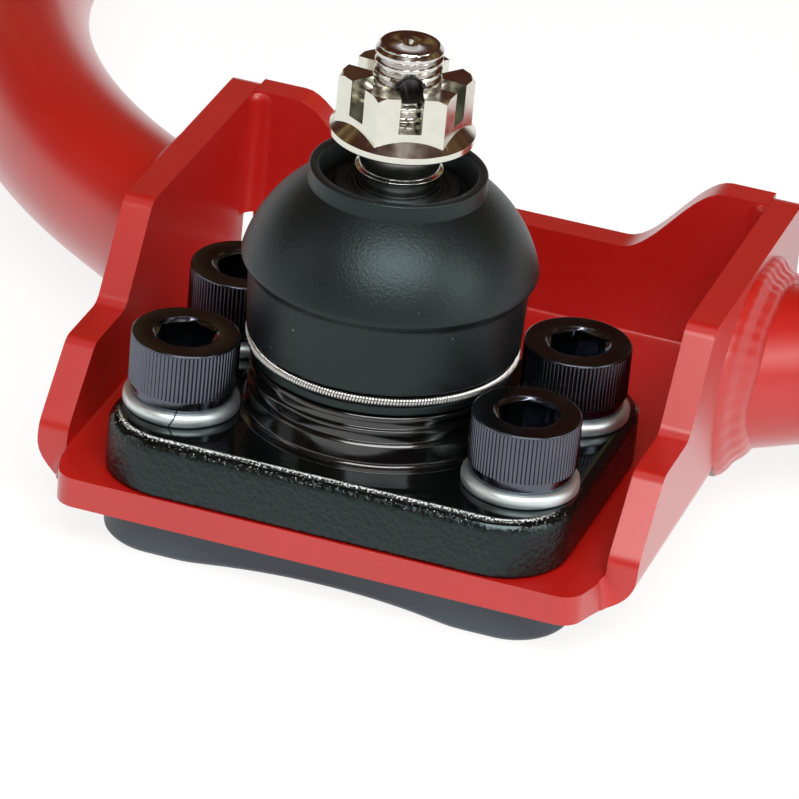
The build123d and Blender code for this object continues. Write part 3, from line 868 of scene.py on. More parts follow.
def cut_away(piece: Object, *cutters: Object, crease: float = 35) -> Object:
    """Cuts the cutters' shapes out of a piece, and removes the cutters.

    Args:
        piece: the piece.
        *cutters: closed meshes.
        crease: edges that turn by more than this many degrees stay sharp.

    Returns:
        The same piece.
    """
    for cutter in cutters:
        hole = piece.modifiers.new("hole", "BOOLEAN")
        hole.operation = "DIFFERENCE"
        hole.solver = "EXACT"
        hole.object = cutter
    baked(piece)
    for cutter in cutters:
        bpy.data.objects.remove(cutter)
    piece.data.shade_smooth()
    piece.data.set_sharp_from_angle(angle=math.radians(crease))
    return piece


def round_bar(name: str, start: Vector, end: Vector, radii: tuple[float, float], count: int = 32) -> Object:
    """A round bar or cone between two points, used to cut holes.

    Args:
        name: its name.
        start: middle of its first end.
        end: middle of its last end.
        radii: its radius at each end.
        count: segments round it.

    Returns:
        The object.
    """
    along = (end - start).normalized()
    across = along.orthogonal().normalized()
    other = along.cross(across)
    turns = [math.tau * i / count for i in range(count)]
    rings: list[Ring] = [[tuple(start)]]
    for place, radius in zip((start, end), radii):
        rings.append([tuple(place + (across * math.cos(t) + other * math.sin(t)) * radius) for t in turns])
    rings.append([tuple(end)])
    return mesh_piece(name, *skin_rings(rings))


def about_x(middle_x: float, profile: Profile, count: int = 96) -> Skin:
    """Turns a closed profile about the pivot axis.

    Args:
        middle_x: where along the axis the profile's offsets start.
        profile: its points, each a radius and an offset along X.
        count: segments round the axis.

    Returns:
        The points, and the faces.
    """
    turns = [math.tau * i / count for i in range(count)]
    rings = [
        [(middle_x + offset, reach * math.cos(t), reach * math.sin(t)) for t in turns]
        for reach, offset in profile
    ]
    return skin_rings(rings, closed=True)


def polygon_radius(angle: float, flats: float, turned: float = 0.0) -> float:
    """Distance from the middle of a hexagon to its edge, in the given direction.

    Args:
        angle: the direction.
        flats: size across its flats.
        turned: direction that one flat faces.

    Returns:
        The distance, in the size's units.
    """
    sixth = math.pi / 3
    off = (angle - turned + sixth / 2) % sixth - sixth / 2
    return flats / 2 / math.cos(off)


def box_radius(angle: float, half_x: float, half_y: float, corner: float) -> float:
    """Distance from the middle of a rounded rectangle to its edge, in the given direction.

    Args:
        angle: the direction.
        half_x: half its size along X.
        half_y: half its size along Y.
        corner: radius of its corners.

    Returns:
        The distance, in the sizes' units.
    """
    c, s = abs(math.cos(angle)), abs(math.sin(angle))
    reach = min(half_x / max(c, 1e-9), half_y / max(s, 1e-9))
    x, y = reach * c, reach * s
    inner_x, inner_y = half_x - corner, half_y - corner
    if x <= inner_x or y <= inner_y:
        return reach
    along = inner_x * c + inner_y * s
    return along + math.sqrt(max(0.0, along**2 - inner_x**2 - inner_y**2 + corner**2))


def shaped_ring(
    foot: Vector, height: float, radius: Callable[[float], float], count: int, turned: float = 0.0
) -> Ring:
    """A level ring whose radius depends on direction.

    Args:
        foot: where the axis meets height zero.
        height: the ring's height.
        radius: distance from the axis in each direction.
        count: points in the ring.
        turned: direction of the first point.

    Returns:
        The ring's points.
    """
    made: Ring = []
    for i in range(count):
        angle = turned + math.tau * i / count
        reach = radius(angle)
        made.append((foot.x + reach * math.cos(angle), foot.y + reach * math.sin(angle), foot.z + height))
    return made


def turned_rings(foot: Vector, profile: Profile, count: int) -> list[Ring]:
    """Turns a profile about an upright axis.

    Args:
        foot: where the axis meets height zero.
        profile: its points, each a radius and a height.
        count: points in each ring.

    Returns:
        A ring for each point, or a single point where the radius is nought.
    """
    rings: list[Ring] = []
    for radius, height in profile:
        if radius > 1e-6:
            rings.append(shaped_ring(foot, height, lambda _, r=radius: r, count))
        else:
            rings.append([(foot.x, foot.y, foot.z + height)])
    return rings


class ShapeTree:
    """A geometry tree with named sizes, which makes one plain mesh for each set of values."""

    def __init__(self, name: str, sizes: dict[str, str], finish: Finish) -> None:
        """Starts the tree.

        Args:
            name: the tree's name.
            sizes: each named input and its socket type.
            finish: the finish that the mesh gets.
        """
        self.tree = bpy.data.node_groups.new(name, "GeometryNodeTree")
        self.finish = finish
        self.tree.interface.new_socket("Geometry", in_out="INPUT", socket_type="NodeSocketGeometry")
        self.tree.interface.new_socket("Geometry", in_out="OUTPUT", socket_type="NodeSocketGeometry")
        self.keys = {
            label: self.tree.interface.new_socket(label, in_out="INPUT", socket_type=kind).identifier
            for label, kind in sizes.items()
        }
        self.given = self.add("NodeGroupInput")

    def __getitem__(self, label: str) -> NodeSocket:
        """The socket that gives a named size."""
        return self.given.outputs[label]

    def add(self, kind: str, inputs: dict | None = None, **settings) -> Node:
        """Adds a node to the tree, as add_node does."""
        return add_node(self.tree, kind, inputs, **settings)

    def math(self, operation: str, a: object, b: object = 0.0) -> Node:
        """Works out one sum from nodes, sockets or numbers."""
        return self.add("ShaderNodeMath", {0: a, 1: b}, operation=operation)

    def end_with(self, geometry: Node) -> None:
        """Ends the tree: instances made real, shaded smooth, and in the finish.

        Args:
            geometry: the node that gives the shape.
        """
        real = self.add("GeometryNodeRealizeInstances", {"Geometry": geometry})
        smooth = self.add("GeometryNodeSetShadeSmooth", {"Geometry": real})
        coloured = self.add(
            "GeometryNodeSetMaterial", {"Geometry": smooth, "Material": self.finish.material()}
        )
        self.add("NodeGroupOutput", {0: coloured})

    def piece(self, name: str, values: dict[str, object]) -> Object:
        """Makes a piece from the tree.

        Args:
            name: the piece's name.
            values: each named input's value.

        Returns:
            The object, its mesh made plain.
        """
        made = linked(name, bpy.data.meshes.new(name))
        modifier = made.modifiers.new("shape", "NODES")
        modifier.node_group = self.tree
        for label, value in values.items():
            modifier[self.keys[label]] = value
        return baked(made)


# ---- tray ----------------------------------------------------------------------------------
class Side(Enum):
    """Which of the arm's two legs."""

    LEFT = -1
    RIGHT = 1

    @property
    def word(self) -> str:
        """The side's name in the frame."""
        return self.name.lower()


@dataclass
class Tray:
    """One plate, bent up at both sides and at the back, that carries the ball joint in three slots."""

    thickness: float = 4.6
    bend_radius: float = 0.6  # inside of each bend
    front: float = 26.0  # stud axis to the front edge
    front_corner: float = 3.5
    front_inset: float = 6.7  # the front edge ends this far inside the side walls
    cut: float = -17.6  # how far back the front corners are cut, along Y from the stud axis
    cut_inset: float = 4.1  # the cut ends this far inside the side walls
    cut_corner: float = 2.5
    low_ledge: float = 12.6  # above the floor
    wall: float = 26.5  # above the floor
    ramp_foot: float = -16.8  # along Y from the stud axis
    ramp_foot_height: float = 2.7  # above the floor
    ramp_head: float = -7.5
    step_foot: float = 4.6
    step_head: float = 13.6
    profile_rounding: float = 3.0
    dip: float = 14.2  # the back wall's lowest stretch, above the floor
    dip_half_width: float = 19.0
    shoulder_x: float = 34.5
    slit: float = 0.06  # what the seam weld bridges
    seam: float = 3.0  # radius of the seam weld
    relief: float = 6.5
    relief_width: float = 1.3
    travel: float = 20.0
    boss_slot: float = 16.3
    bolt_slot: float = 5.3
    bolt_x: float = 26.0
    bolt_y: float = 12.2
    ramp_corner: float = 4.0
    back_corner: float = 2.4  # of the side walls
    relief_corner: float = 1.5
    flap_corner: float = 0.6
    edge: float = 0.75
    bend_steps: int = 8
    dip_steps: int = 14
    slot_steps: int = 18

    def __post_init__(self) -> None:
        """Reads the tray's place from the frame."""
        self.outside = high("tray")
        self.bottom = low("tray").z
        self.mid_radius = self.bend_radius + self.thickness / 2
        self.mid_z = self.bottom + self.thickness / 2
        self.floor_z = self.bottom + self.thickness
        self.bend_x = self.outside.x - self.thickness - self.bend_radius
        self.bend_y = self.outside.y - self.thickness - self.bend_radius
        self.bend_length = self.mid_radius * math.pi / 2

    def rise(self, z: float) -> float:
        """How far along the flat plate, from the start of a bend, a height lies."""
        return self.bend_length + z - self.mid_z - self.mid_radius

    def flat_outline(self) -> list[tuple[float, float]]:
        """Draws the right half of the plate before it is bent.

        Returns:
            Its points, from the front middle to the back middle.
        """
        top = self.rise(self.floor_z + self.wall)
        ledge = self.rise(self.floor_z + self.low_ledge)
        ramp = self.rise(self.floor_z + self.ramp_foot_height)
        side = self.bend_x
        y = STUD.y
        back = self.outside.y
        half_flap = self.outside.x - self.thickness - self.slit
        notch = self.rise(self.floor_z + self.relief)
        dip = self.rise(self.floor_z + self.dip)
        corners = [
            (0.0, y - self.front),
            (self.outside.x - self.front_inset, y - self.front, self.front_corner),
            (self.outside.x - self.cut_inset, y + self.cut, self.cut_corner),
            (side + ramp, y + self.ramp_foot, self.ramp_corner),
            (side + ledge, y + self.ramp_head, self.profile_rounding),
            (side + ledge, y + self.step_foot, self.profile_rounding),
            (side + top, y + self.step_head, self.profile_rounding),
            (side + top, back, self.back_corner),
            (side + notch, back, self.flap_corner),
            (side + notch, self.bend_y, self.relief_corner),
            (half_flap - self.relief_width, self.bend_y, 0.0),
            (half_flap - self.relief_width, self.bend_y + notch, 0.5),
            (half_flap, self.bend_y + notch + 0.4, 0.0),
            (half_flap, self.bend_y + top, self.flap_corner),
        ]
        made = rounded(corners, steps=6)
        for i in range(self.dip_steps + 1):
            share = i / self.dip_steps
            ease = share * share * (3 - 2 * share)
            x = self.shoulder_x + (self.dip_half_width - self.shoulder_x) * share
            made.append((x, self.bend_y + top + (dip - top) * ease))
        made.append((0.0, self.bend_y + dip))
        return made

    def slot_outline(self, middle_x: float, half_length: float, radius: float) -> list[tuple[float, float]]:
        """Draws a slot along Y with round ends.

        Args:
            middle_x: where its middle line is.
            half_length: half its length, its ends included.
            radius: half its width.

        Returns:
            Its outline's points.
        """
        middle_y = STUD.y + self.travel / 2
        made: list[tuple[float, float]] = []
        for end, first in ((half_length - radius, 0.0), (radius - half_length, math.pi)):
            for i in range(self.slot_steps + 1):
                angle = first + math.pi * i / self.slot_steps
                made.append((middle_x + radius * math.cos(angle), middle_y + end + radius * math.sin(angle)))
        return made

    def bent(self, u: float, v: float) -> Point:
        """Takes a point of the flat plate to its place on the bent one's middle surface.

        Args:
            u: the point's place across the plate.
            v: its place along the plate.

        Returns:
            Its place in the row frame.
        """
        if v > self.bend_y + 1e-6 and abs(u) < self.bend_x + 2.0:  # the back wall's flap
            out, rise = self.fold(v - self.bend_y)
            return (u, self.bend_y + out, self.mid_z + rise)
        if abs(u) > self.bend_x:
            out, rise = self.fold(abs(u) - self.bend_x)
            return (math.copysign(self.bend_x + out, u), v, self.mid_z + rise)
        return (u, v, self.mid_z)

    def fold(self, past: float) -> tuple[float, float]:
        """Follows a bend.

        Args:
            past: how far the point lies past the bend's start, on the flat plate.

        Returns:
            How far out and how far up the bend takes it.
        """
        if past < self.bend_length:
            turn = past / self.mid_radius
            return self.mid_radius * math.sin(turn), self.mid_radius * (1 - math.cos(turn))
        return self.mid_radius, self.mid_radius + past - self.bend_length

    def build(self) -> None:
        """Cuts the flat plate, scores it along its bends, bends it, and gives it its thickness."""
        right = self.flat_outline()
        left = [(-u, v) for u, v in reversed(right[1:-1])]
        boss = self.boss_slot + self.travel / 2
        bolt = self.bolt_y + self.travel / 2 + self.bolt_slot
        loops = [
            right + left,
            self.slot_outline(0.0, boss, self.boss_slot),
            self.slot_outline(-self.bolt_x, bolt, self.bolt_slot),
            self.slot_outline(self.bolt_x, bolt, self.bolt_slot),
        ]
        plate = bmesh.new()
        for loop in loops:
            corners = [plate.verts.new((u, v, 0.0)) for u, v in loop]
            for i, corner in enumerate(corners):
                plate.edges.new((corners[i - 1], corner))
        bmesh.ops.triangle_fill(plate, edges=plate.edges, use_beauty=True)
        for i in range(self.bend_steps + 1):
            past = self.bend_length * i / self.bend_steps
            for score, normal in (
                ((self.bend_x + past, 0, 0), (1, 0, 0)),
                ((-self.bend_x - past, 0, 0), (1, 0, 0)),
                ((0, self.bend_y + past, 0), (0, 1, 0)),
            ):
                faces = plate.verts[:] + plate.edges[:] + plate.faces[:]
                bmesh.ops.bisect_plane(plate, geom=faces, plane_co=score, plane_no=normal, dist=1e-5)
        bmesh.ops.remove_doubles(plate, verts=plate.verts, dist=1e-5)
        bmesh.ops.recalc_face_normals(plate, faces=plate.faces)
        for corner in plate.verts:
            corner.co = Vector(self.bent(corner.co.x, corner.co.y)) * MM
        mesh = bpy.data.meshes.new("bent_tray")
        plate.to_mesh(mesh)
        plate.free()
        piece = linked("bent_tray", mesh)
        wall = piece.modifiers.new("thickness", "SOLIDIFY")
        wall.thickness = self.thickness * MM
        wall.offset = 0.0
        wall.use_even_offset = True
        round_edges(piece, self.edge, crease=40)
        dress(piece, RED_POWDER_COAT, "arm", ["tray"])
        for side in Side:
            self.weld_corner(side)

    def weld_corner(self, side: Side) -> None:
        """Fills the inside corner between a side wall and the back wall with its seam weld.

        Args:
            side: which of the two corners.
        """
        wall_x = self.outside.x - self.thickness
        wall_y = self.outside.y - self.thickness
        sunk = 0.5  # the weld's back lies this far inside both walls
        foot, head = self.floor_z + self.relief - 0.4, self.floor_z + self.wall - 0.25
        steps, layers = 8, 40
        ripple, ripple_height = 1.6, 0.08
        taper, end_share = 1.2, 0.62  # over its last stretch the weld narrows to this share
        rings: list[Ring] = []
        for layer in range(layers + 1):
            z = foot + (head - foot) * layer / layers
            fullness = end_share + (1 - end_share) * min(1.0, (head - z) / taper) ** 0.5
            radius = self.seam * fullness + ripple_height * math.sin(math.tau * z / ripple)
            ring = [(wall_x + sunk, wall_y + sunk, z), (wall_x + sunk, wall_y - radius, z)]
            for i in range(steps + 1):
                turn = math.pi / 2 * i / steps
                x, y = wall_x - radius + radius * math.cos(turn), wall_y - radius + radius * math.sin(turn)
                ring.append((x, y, z))
            ring.append((wall_x - radius, wall_y + sunk, z))
            rings.append([(x * side.value, y, height) for x, y, height in ring])
        weld = mesh_piece(f"{side.word}_corner_weld", *capped(rings), crease=40)
        dress(weld, RED_POWDER_COAT, "arm", ["tray"])


# ---- legs, welds, eyes and bushes ----------------------------------------------------------
@dataclass
class Leg:
    """One tubular leg from the tray's side wall to its pivot, with both its welds."""

    side: Side
    radius: float = 12.0
    wall: float = 2.5
    root_y: float = 38.0  # where the axis meets the wall, from the stud axis
    knee: tuple[float, float] = (93.0, 73.5)  # from the stud axis
    bend_radius: float = 118.0
    bead: float = 4.5
    eye_bead: float = 3.0
    sunk: float = 1.5  # the tube ends this far inside the eye's surface
    ripple: float = 2.2  # pitch of the ripples that the torch leaves
    count: int = 72
    bend_steps: int = 40
    seam_count: int = 240

    def __post_init__(self) -> None:
        """Reads the places of both ends from the frame."""
        sign = self.side.value
        eye = f"{self.side.word}_bush_eye"
        self.eye_axis = middle(eye)
        self.eye_radius = (high(eye).z - low(eye).z) / 2
        self.wall_x = sign * high("tray").x
        self.tray = Tray()
        self.root = Vector((self.wall_x, STUD.y + self.root_y, self.eye_axis.z))
        self.corner = Vector((sign * self.knee[0], STUD.y + self.knee[1], self.eye_axis.z))

    def axis(self) -> list[Vector]:
        """Draws the tube's axis: straight, a wide bend, and straight to the eye.

        Returns:
            Points along it.
        """
        into = (self.corner - self.root).normalized()
        out = (self.eye_axis - self.corner).normalized()
        turn = into.angle(out)
        reach = self.bend_radius * math.tan(turn / 2)
        start = self.corner - into * reach
        centre = self.corner + (out - into).normalized() * (self.bend_radius / math.cos(turn / 2))
        spin = into.cross(out).normalized()
        turns = [turn * i / self.bend_steps for i in range(self.bend_steps + 1)]
        bend = [centre + Matrix.Rotation(t, 3, spin) @ (start - centre) for t in turns]
        return [self.root, *bend, self.eye_axis]

    def build(self) -> None:
        """Makes the tube and its two beads."""
        word = self.side.word
        path = self.axis()
        inside = self.wall_x - self.side.value * self.tray.thickness / 2
        bore = self.radius - self.wall
        rings: list[Ring] = []
        for radius, order in ((self.radius, 1), (bore, -1)):
            made: list[Ring] = []
            for i, place in enumerate(path):
                before, after = path[max(i - 1, 0)], path[min(i + 1, len(path) - 1)]
                along = (after - before).normalized()
                across = along.cross(UP).normalized()
                ring: Ring = []
                for j in range(self.count):
                    angle = math.tau * j / self.count
                    point = place + (across * math.cos(angle) + UP * math.sin(angle)) * radius
                    if i == 0:
                        point += along * ((inside - point.x) / along.x)
                    elif i == len(path) - 1:
                        point += along * self.reach_to_eye(point, along, self.eye_radius - self.sunk)
                    ring.append(tuple(point))
                made.append(ring)
            rings.extend(made[::order])
        tube = mesh_piece(f"{word}_leg_tube", *skin_rings(rings, closed=True), crease=50)
        dress(tube, RED_POWDER_COAT, "arm", [f"{word}_leg"])
        root_bead = self.weld(f"{word}_tray_bead", self.tray_seam(), self.bead, 11 + self.side.value)
        dress(root_bead, RED_POWDER_COAT, "arm", [f"{word}_leg_weld"])
        eye_bead = self.weld(f"{word}_eye_bead", self.eye_seam(), self.eye_bead, 17 + self.side.value)
        dress(eye_bead, RED_POWDER_COAT, "arm", [f"{word}_eye_weld"])

    def reach_to_eye(self, point: Vector, along: Vector, radius: float) -> float:
        """Finds where a line meets the eye.

        Args:
            point: a point of the line.
            along: the line's way.
            radius: the eye's.

        Returns:
            How far the line runs from the point.
        """
        y, z = point.y - self.eye_axis.y, point.z - self.eye_axis.z
        a = along.y**2 + along.z**2
        b = 2 * (y * along.y + z * along.z)
        c = y * y + z * z - radius**2
        return (-b - math.sqrt(max(0.0, b * b - 4 * a * c))) / (2 * a)

    def round_tube(self, start: Vector, along: Vector) -> list[tuple[Vector, Vector]]:
        """Goes once round the tube's skin.

        Args:
            start: a point of the tube's axis.
            along: the axis' way there.

        Returns:
            Points of the skin, each with the way outwards.
        """
        across = along.cross(UP).normalized()
        turns = [math.tau * j / self.seam_count for j in range(self.seam_count)]
        ways = [across * math.cos(turn) + UP * math.sin(turn) for turn in turns]
        return [(start + way * self.radius, way) for way in ways]

    def tray_seam(self) -> list[tuple[Vector, Vector, Vector]]:
        """Finds where tube and tray meet.

        Returns:
            Points of the seam, each with the ways along the tube and along the wall.
        """
        along = (self.corner - self.root).normalized()
        bend_outer = self.tray.bend_radius + self.tray.thickness
        made = []
        for point, outwards in self.round_tube(self.root, along):
            below = max(0.0, self.tray.bottom + bend_outer - point.z)
            inset = bend_outer - math.sqrt(max(0.0, bend_outer**2 - below**2))
            face = self.wall_x - self.side.value * inset
            point += along * ((face - point.x) / along.x)
            wall_out = Vector((self.side.value, 0, 0))
            if below:
                wall_out = Vector((self.side.value * (bend_outer - inset), 0, -below)).normalized()
            wall_way = (outwards - wall_out * outwards.dot(wall_out)).normalized()
            made.append((point, along, wall_way))
        return made

    def eye_seam(self) -> list[tuple[Vector, Vector, Vector]]:
        """Finds where tube and eye meet.

        Returns:
            Points of the seam, each with the ways back along the tube and along the eye.
        """
        along = (self.eye_axis - self.corner).normalized()
        made = []
        for point, outwards in self.round_tube(self.eye_axis, along):
            point += along * self.reach_to_eye(point, along, self.eye_radius)
            face_out = Vector((0, point.y - self.eye_axis.y, point.z - self.eye_axis.z)).normalized()
            face_way = (outwards - face_out * outwards.dot(face_out)).normalized()
            made.append((point, -along, face_way))
        return made

    def weld(
        self, name: str, seam: Sequence[tuple[Vector, Vector, Vector]], size: float, seed: int
    ) -> Object:
        """Lays a rippled bead along a seam.

        Args:
            name: the bead's name.
            seam: its points, each with the ways along the tube and along the face.
            size: the bead's leg.
            seed: sets where the bead swells.

        Returns:
            The bead.
        """
        steps, sunk, ripple_height = 7, 0.6, 0.035
        rings: list[Ring] = []
        run = 0.0
        length = sum((seam[i][0] - seam[i - 1][0]).length for i in range(len(seam)))
        ripples = round(length / self.ripple)
        for i, (point, tube_way, face_way) in enumerate(seam):
            run += (point - seam[i - 1][0]).length if i else 0.0
            share = run / length * math.tau
            swell = 1 + 0.07 * math.sin(3 * share + seed) + 0.04 * math.sin(7 * share + 2 * seed)
            ring = [tuple(point - (tube_way + face_way) * sunk)]
            for k in range(steps + 1):
                turn = math.pi / 2 * k / steps
                lag = 1.1 * math.sin(2 * turn)  # the ripples bow along the bead
                wave = 0.5 + 0.5 * math.sin(ripples * share - lag)
                bow = 0.74 + 0.26 * abs(math.cos(2 * turn)) ** 1.5
                reach = size * swell * (bow + ripple_height * (wave - 0.5) * math.sin(2 * turn))
                ring.append(tuple(point + (tube_way * math.cos(turn) + face_way * math.sin(turn)) * reach))
            rings.append(ring)
        return mesh_piece(name, *skin_rings(rings, closed=True), crease=60)


@dataclass
class Pivot:
    """One pivot: an eye, and in it a bush of steel shell, rubber and inner sleeve."""

    side: Side
    shell_wall: float = 1.5
    eye_wall: float = 3.5
    sleeve_bore: float = 6.1
    hollow: float = 3.0  # depth of the rubber's end grooves
    hair: float = 0.02  # between the shell and what holds it

    def size(self, part: str) -> Vector:
        """The size of one of this pivot's CAD nodes."""
        return high(f"{self.side.word}_{part}") - low(f"{self.side.word}_{part}")

    def tube(
        self, name: str, bore: float, outer: float, half: float, edges: tuple[float, float], steps: int
    ) -> Object:
        """Turns a short tube about the pivot axis, its ends rounded.

        Args:
            name: the piece's name, after its side.
            bore: its inner radius.
            outer: its outer radius.
            half: half its length.
            edges: rounding of its bore's edges and of its outer ones.
            steps: segments in each rounding.

        Returns:
            The piece.
        """
        corners = [
            (bore, half, edges[0]),
            (outer, half, edges[1]),
            (outer, -half, edges[1]),
            (bore, -half, edges[0]),
        ]
        profile = rounded([(bore, 0), *corners, (bore, -0.01)], steps)
        middle_x = middle(f"{self.side.word}_bush_eye").x
        return mesh_piece(f"{self.side.word}_{name}", *about_x(middle_x, profile))

    def build(self) -> None:
        """Turns the eye, the shell, the rubber and the sleeve about the pivot axis."""
        word = self.side.word
        eye, sleeve = self.size("bush_eye"), self.size("inner_sleeve") / 2
        outer = eye.z / 2
        bore = outer - self.eye_wall
        inner = bore - self.shell_wall
        ring = self.tube("eye_ring", bore, outer, eye.x / 2, (0.5, 1.0), 4)
        dress(ring, RED_POWDER_COAT, "arm", [f"{word}_bush_eye"])
        shell = self.tube("bush_outer", inner, bore - self.hair, self.size("bush_shell").x / 2, (0.5, 0.6), 3)
        dress(shell, ZINC_PLATE, "arm", [f"{word}_bush_shell"])
        self.fill(sleeve.z + 2 * self.hair, inner)
        pipe = self.tube("pivot_tube", self.sleeve_bore, sleeve.z, sleeve.x, (0.6, 0.7), 3)
        dress(pipe, ZINC_PLATE, f"{word}_pivot", [f"{word}_inner_sleeve"])

    def fill(self, foot: float, inner: float) -> None:
        """Makes the rubber, hollowed at both ends.

        Args:
            foot: its inner radius.
            inner: the shell's inner radius.
        """
        word = self.side.word
        lip = self.size("bush_rubber").x / 2
        across = inner - foot
        groove = (
            (foot + 0.2 * across, lip - 0.4),
            (foot + 0.5 * across, lip - self.hollow),
            (foot + 0.8 * across, lip - 0.4),
        )
        one_end = [
            (foot, lip - 0.5), (foot + 0.5, lip), (foot + 0.12 * across, lip - 0.1),
            *arc_points(*groove, 10), (foot + 0.88 * across, lip - 0.1), (inner - 0.5, lip),
            (inner - self.hair, lip - 0.5),
        ]
        profile = one_end + [(radius, -offset) for radius, offset in reversed(one_end)]
        piece = mesh_piece(f"{word}_bush_filling", *about_x(middle(f"{word}_bush_eye").x, profile))
        dress(piece, NATURAL_RUBBER, "arm", [f"{word}_bush_rubber"])


# ---- ball joint ----------------------------------------------------------------------------
@dataclass
class Housing:
    """The ball joint's forged housing: a bolted flange, a turned neck under the boot, and a crimped boss.

    Heights are from the flange's top face.
    """

    corner: float = 10.5
    edge: float = 2.0
    foot_edge: float = 0.8
    boss_radius: float = 16.0
    cavity: float = 13.35
    cavity_foot: float = -10.9
    cover_seat: float = 14.35
    crimp: float = 12.25
    neck: float = 19.2
    waist: float = 18.5
    boot_seat: float = 17.3
    band_head: float = 3.4
    bead: tuple[float, float] = (5.2, 6.0)
    shelf: tuple[float, float] = (7.3, 8.3)
    mouth: float = 11.1
    bolt_hole: float = 5.3
    hair: float = 0.03  # between flange and tray, so that they don't share a plane as it slides
    count: int = 288

    def __post_init__(self) -> None:
        """Reads the flange's size and the bolts' places from the frame."""
        top, bottom = high("ball_joint_housing"), low("ball_joint_housing")
        self.half_x, self.half_y = (top.x - bottom.x) / 2, (top.y - bottom.y) / 2
        self.thickness = FLANGE_TOP - Tray().floor_z
        self.top, self.bottom = top.z - STUD.z, bottom.z - STUD.z
        self.bolts = [middle(f"{corner}_cap_screw") for corner in CORNERS]

    def level(self, height: float, inset: float) -> Ring:
        """One ring of the flange's rounded rectangle, this far inside its full size."""
        sizes = (self.half_x - inset, self.half_y - inset, self.corner - inset)
        return shaped_ring(STUD, height, lambda angle: box_radius(angle, *sizes), self.count)

    def build(self) -> None:
        """Stacks flange, boss and bore rings into one skin, drills it, and adds the neck."""
        foot = self.hair - self.thickness
        quarter = [math.pi / 2 * i / 6 for i in range(7)]
        low_edge = [
            (self.foot_edge * (1 - math.sin(t)), foot + self.foot_edge * (1 - math.cos(t)))
            for t in quarter
        ]
        top_edge = [(self.edge * (1 - math.cos(t)), -self.edge * (1 - math.sin(t))) for t in quarter]
        boss = rounded([
            (self.crimp, self.bottom + 0.8),
            (self.crimp + 0.6, self.bottom, 0.3),
            (self.boss_radius - 0.8, self.bottom, 0.6),
            (self.boss_radius, self.bottom + 1.2, 0.5),
            (self.boss_radius, foot, 0.0),
        ], steps=3)
        rings = turned_rings(STUD, boss, self.count)
        rings += [self.level(height, inset) for inset, height in low_edge]
        rings += [self.level(height, inset) for inset, height in top_edge]
        inside = [(radius, 0.0) for radius in (self.neck + 1.4, self.neck - 1.5, self.cavity)]
        inside += [(self.cavity, self.cavity_foot), (self.cover_seat, self.cavity_foot)]
        inside += [(self.cover_seat, self.bottom + 0.8)]
        rings += turned_rings(STUD, inside, self.count)
        piece = mesh_piece("forged_flange", *skin_rings(rings, closed=True), crease=40)
        bars = []
        for bolt in self.bolts:
            start, end = Vector((bolt.x, bolt.y, STUD.z - 12)), Vector((bolt.x, bolt.y, STUD.z + 2))
            bars.append(round_bar("bolt_hole", start, end, (self.bolt_hole, self.bolt_hole)))
        cut_away(piece, *bars, crease=40)
        dress(piece, BLACK_E_COAT, "ball_joint", ["ball_joint_housing"])
        self.turn_neck()

    def turn_neck(self) -> None:
        """Turns the neck: a foot fillet, a broad band, a waist, the boot's shelf and the ball's mouth."""
        neck = rounded([
            (self.cavity, 4.0),
            (self.cavity, -0.6),
            (self.neck + 1.6, -0.6),
            (self.neck + 1.6, 0.12, 0.1),
            (self.neck, 0.12, 1.2),
            (self.neck, self.band_head, 0.3),
            (self.neck - 0.35, self.band_head + 0.35, 0.2),
            (self.waist, self.band_head + 0.35, 0.2),
            (self.waist, self.bead[0], 0.3),
            (self.neck - 0.2, self.bead[0], 0.25),
            (self.neck - 0.2, self.bead[1], 0.25),
            (self.waist, self.bead[1], 0.3),
            (self.waist, self.shelf[0], 0.3),
            (self.neck, self.shelf[0], 0.25),
            (self.neck, self.shelf[1], 0.4),
            (self.boot_seat, self.shelf[1], 0.3),
            (self.boot_seat, self.top, 0.5),
            (self.mouth + 1.5, self.top, 0.4),
            (self.mouth, self.top - 1.6, 0.3),
            (self.mouth + 1.9, 7.2, 3.0),
            (self.cavity, 4.01),
        ], steps=4)
        piece = mesh_piece("turned_neck", *skin_rings(turned_rings(STUD, neck, self.count), closed=True))
        dress(piece, SMOOTH_E_COAT, "ball_joint", ["ball_joint_housing"])


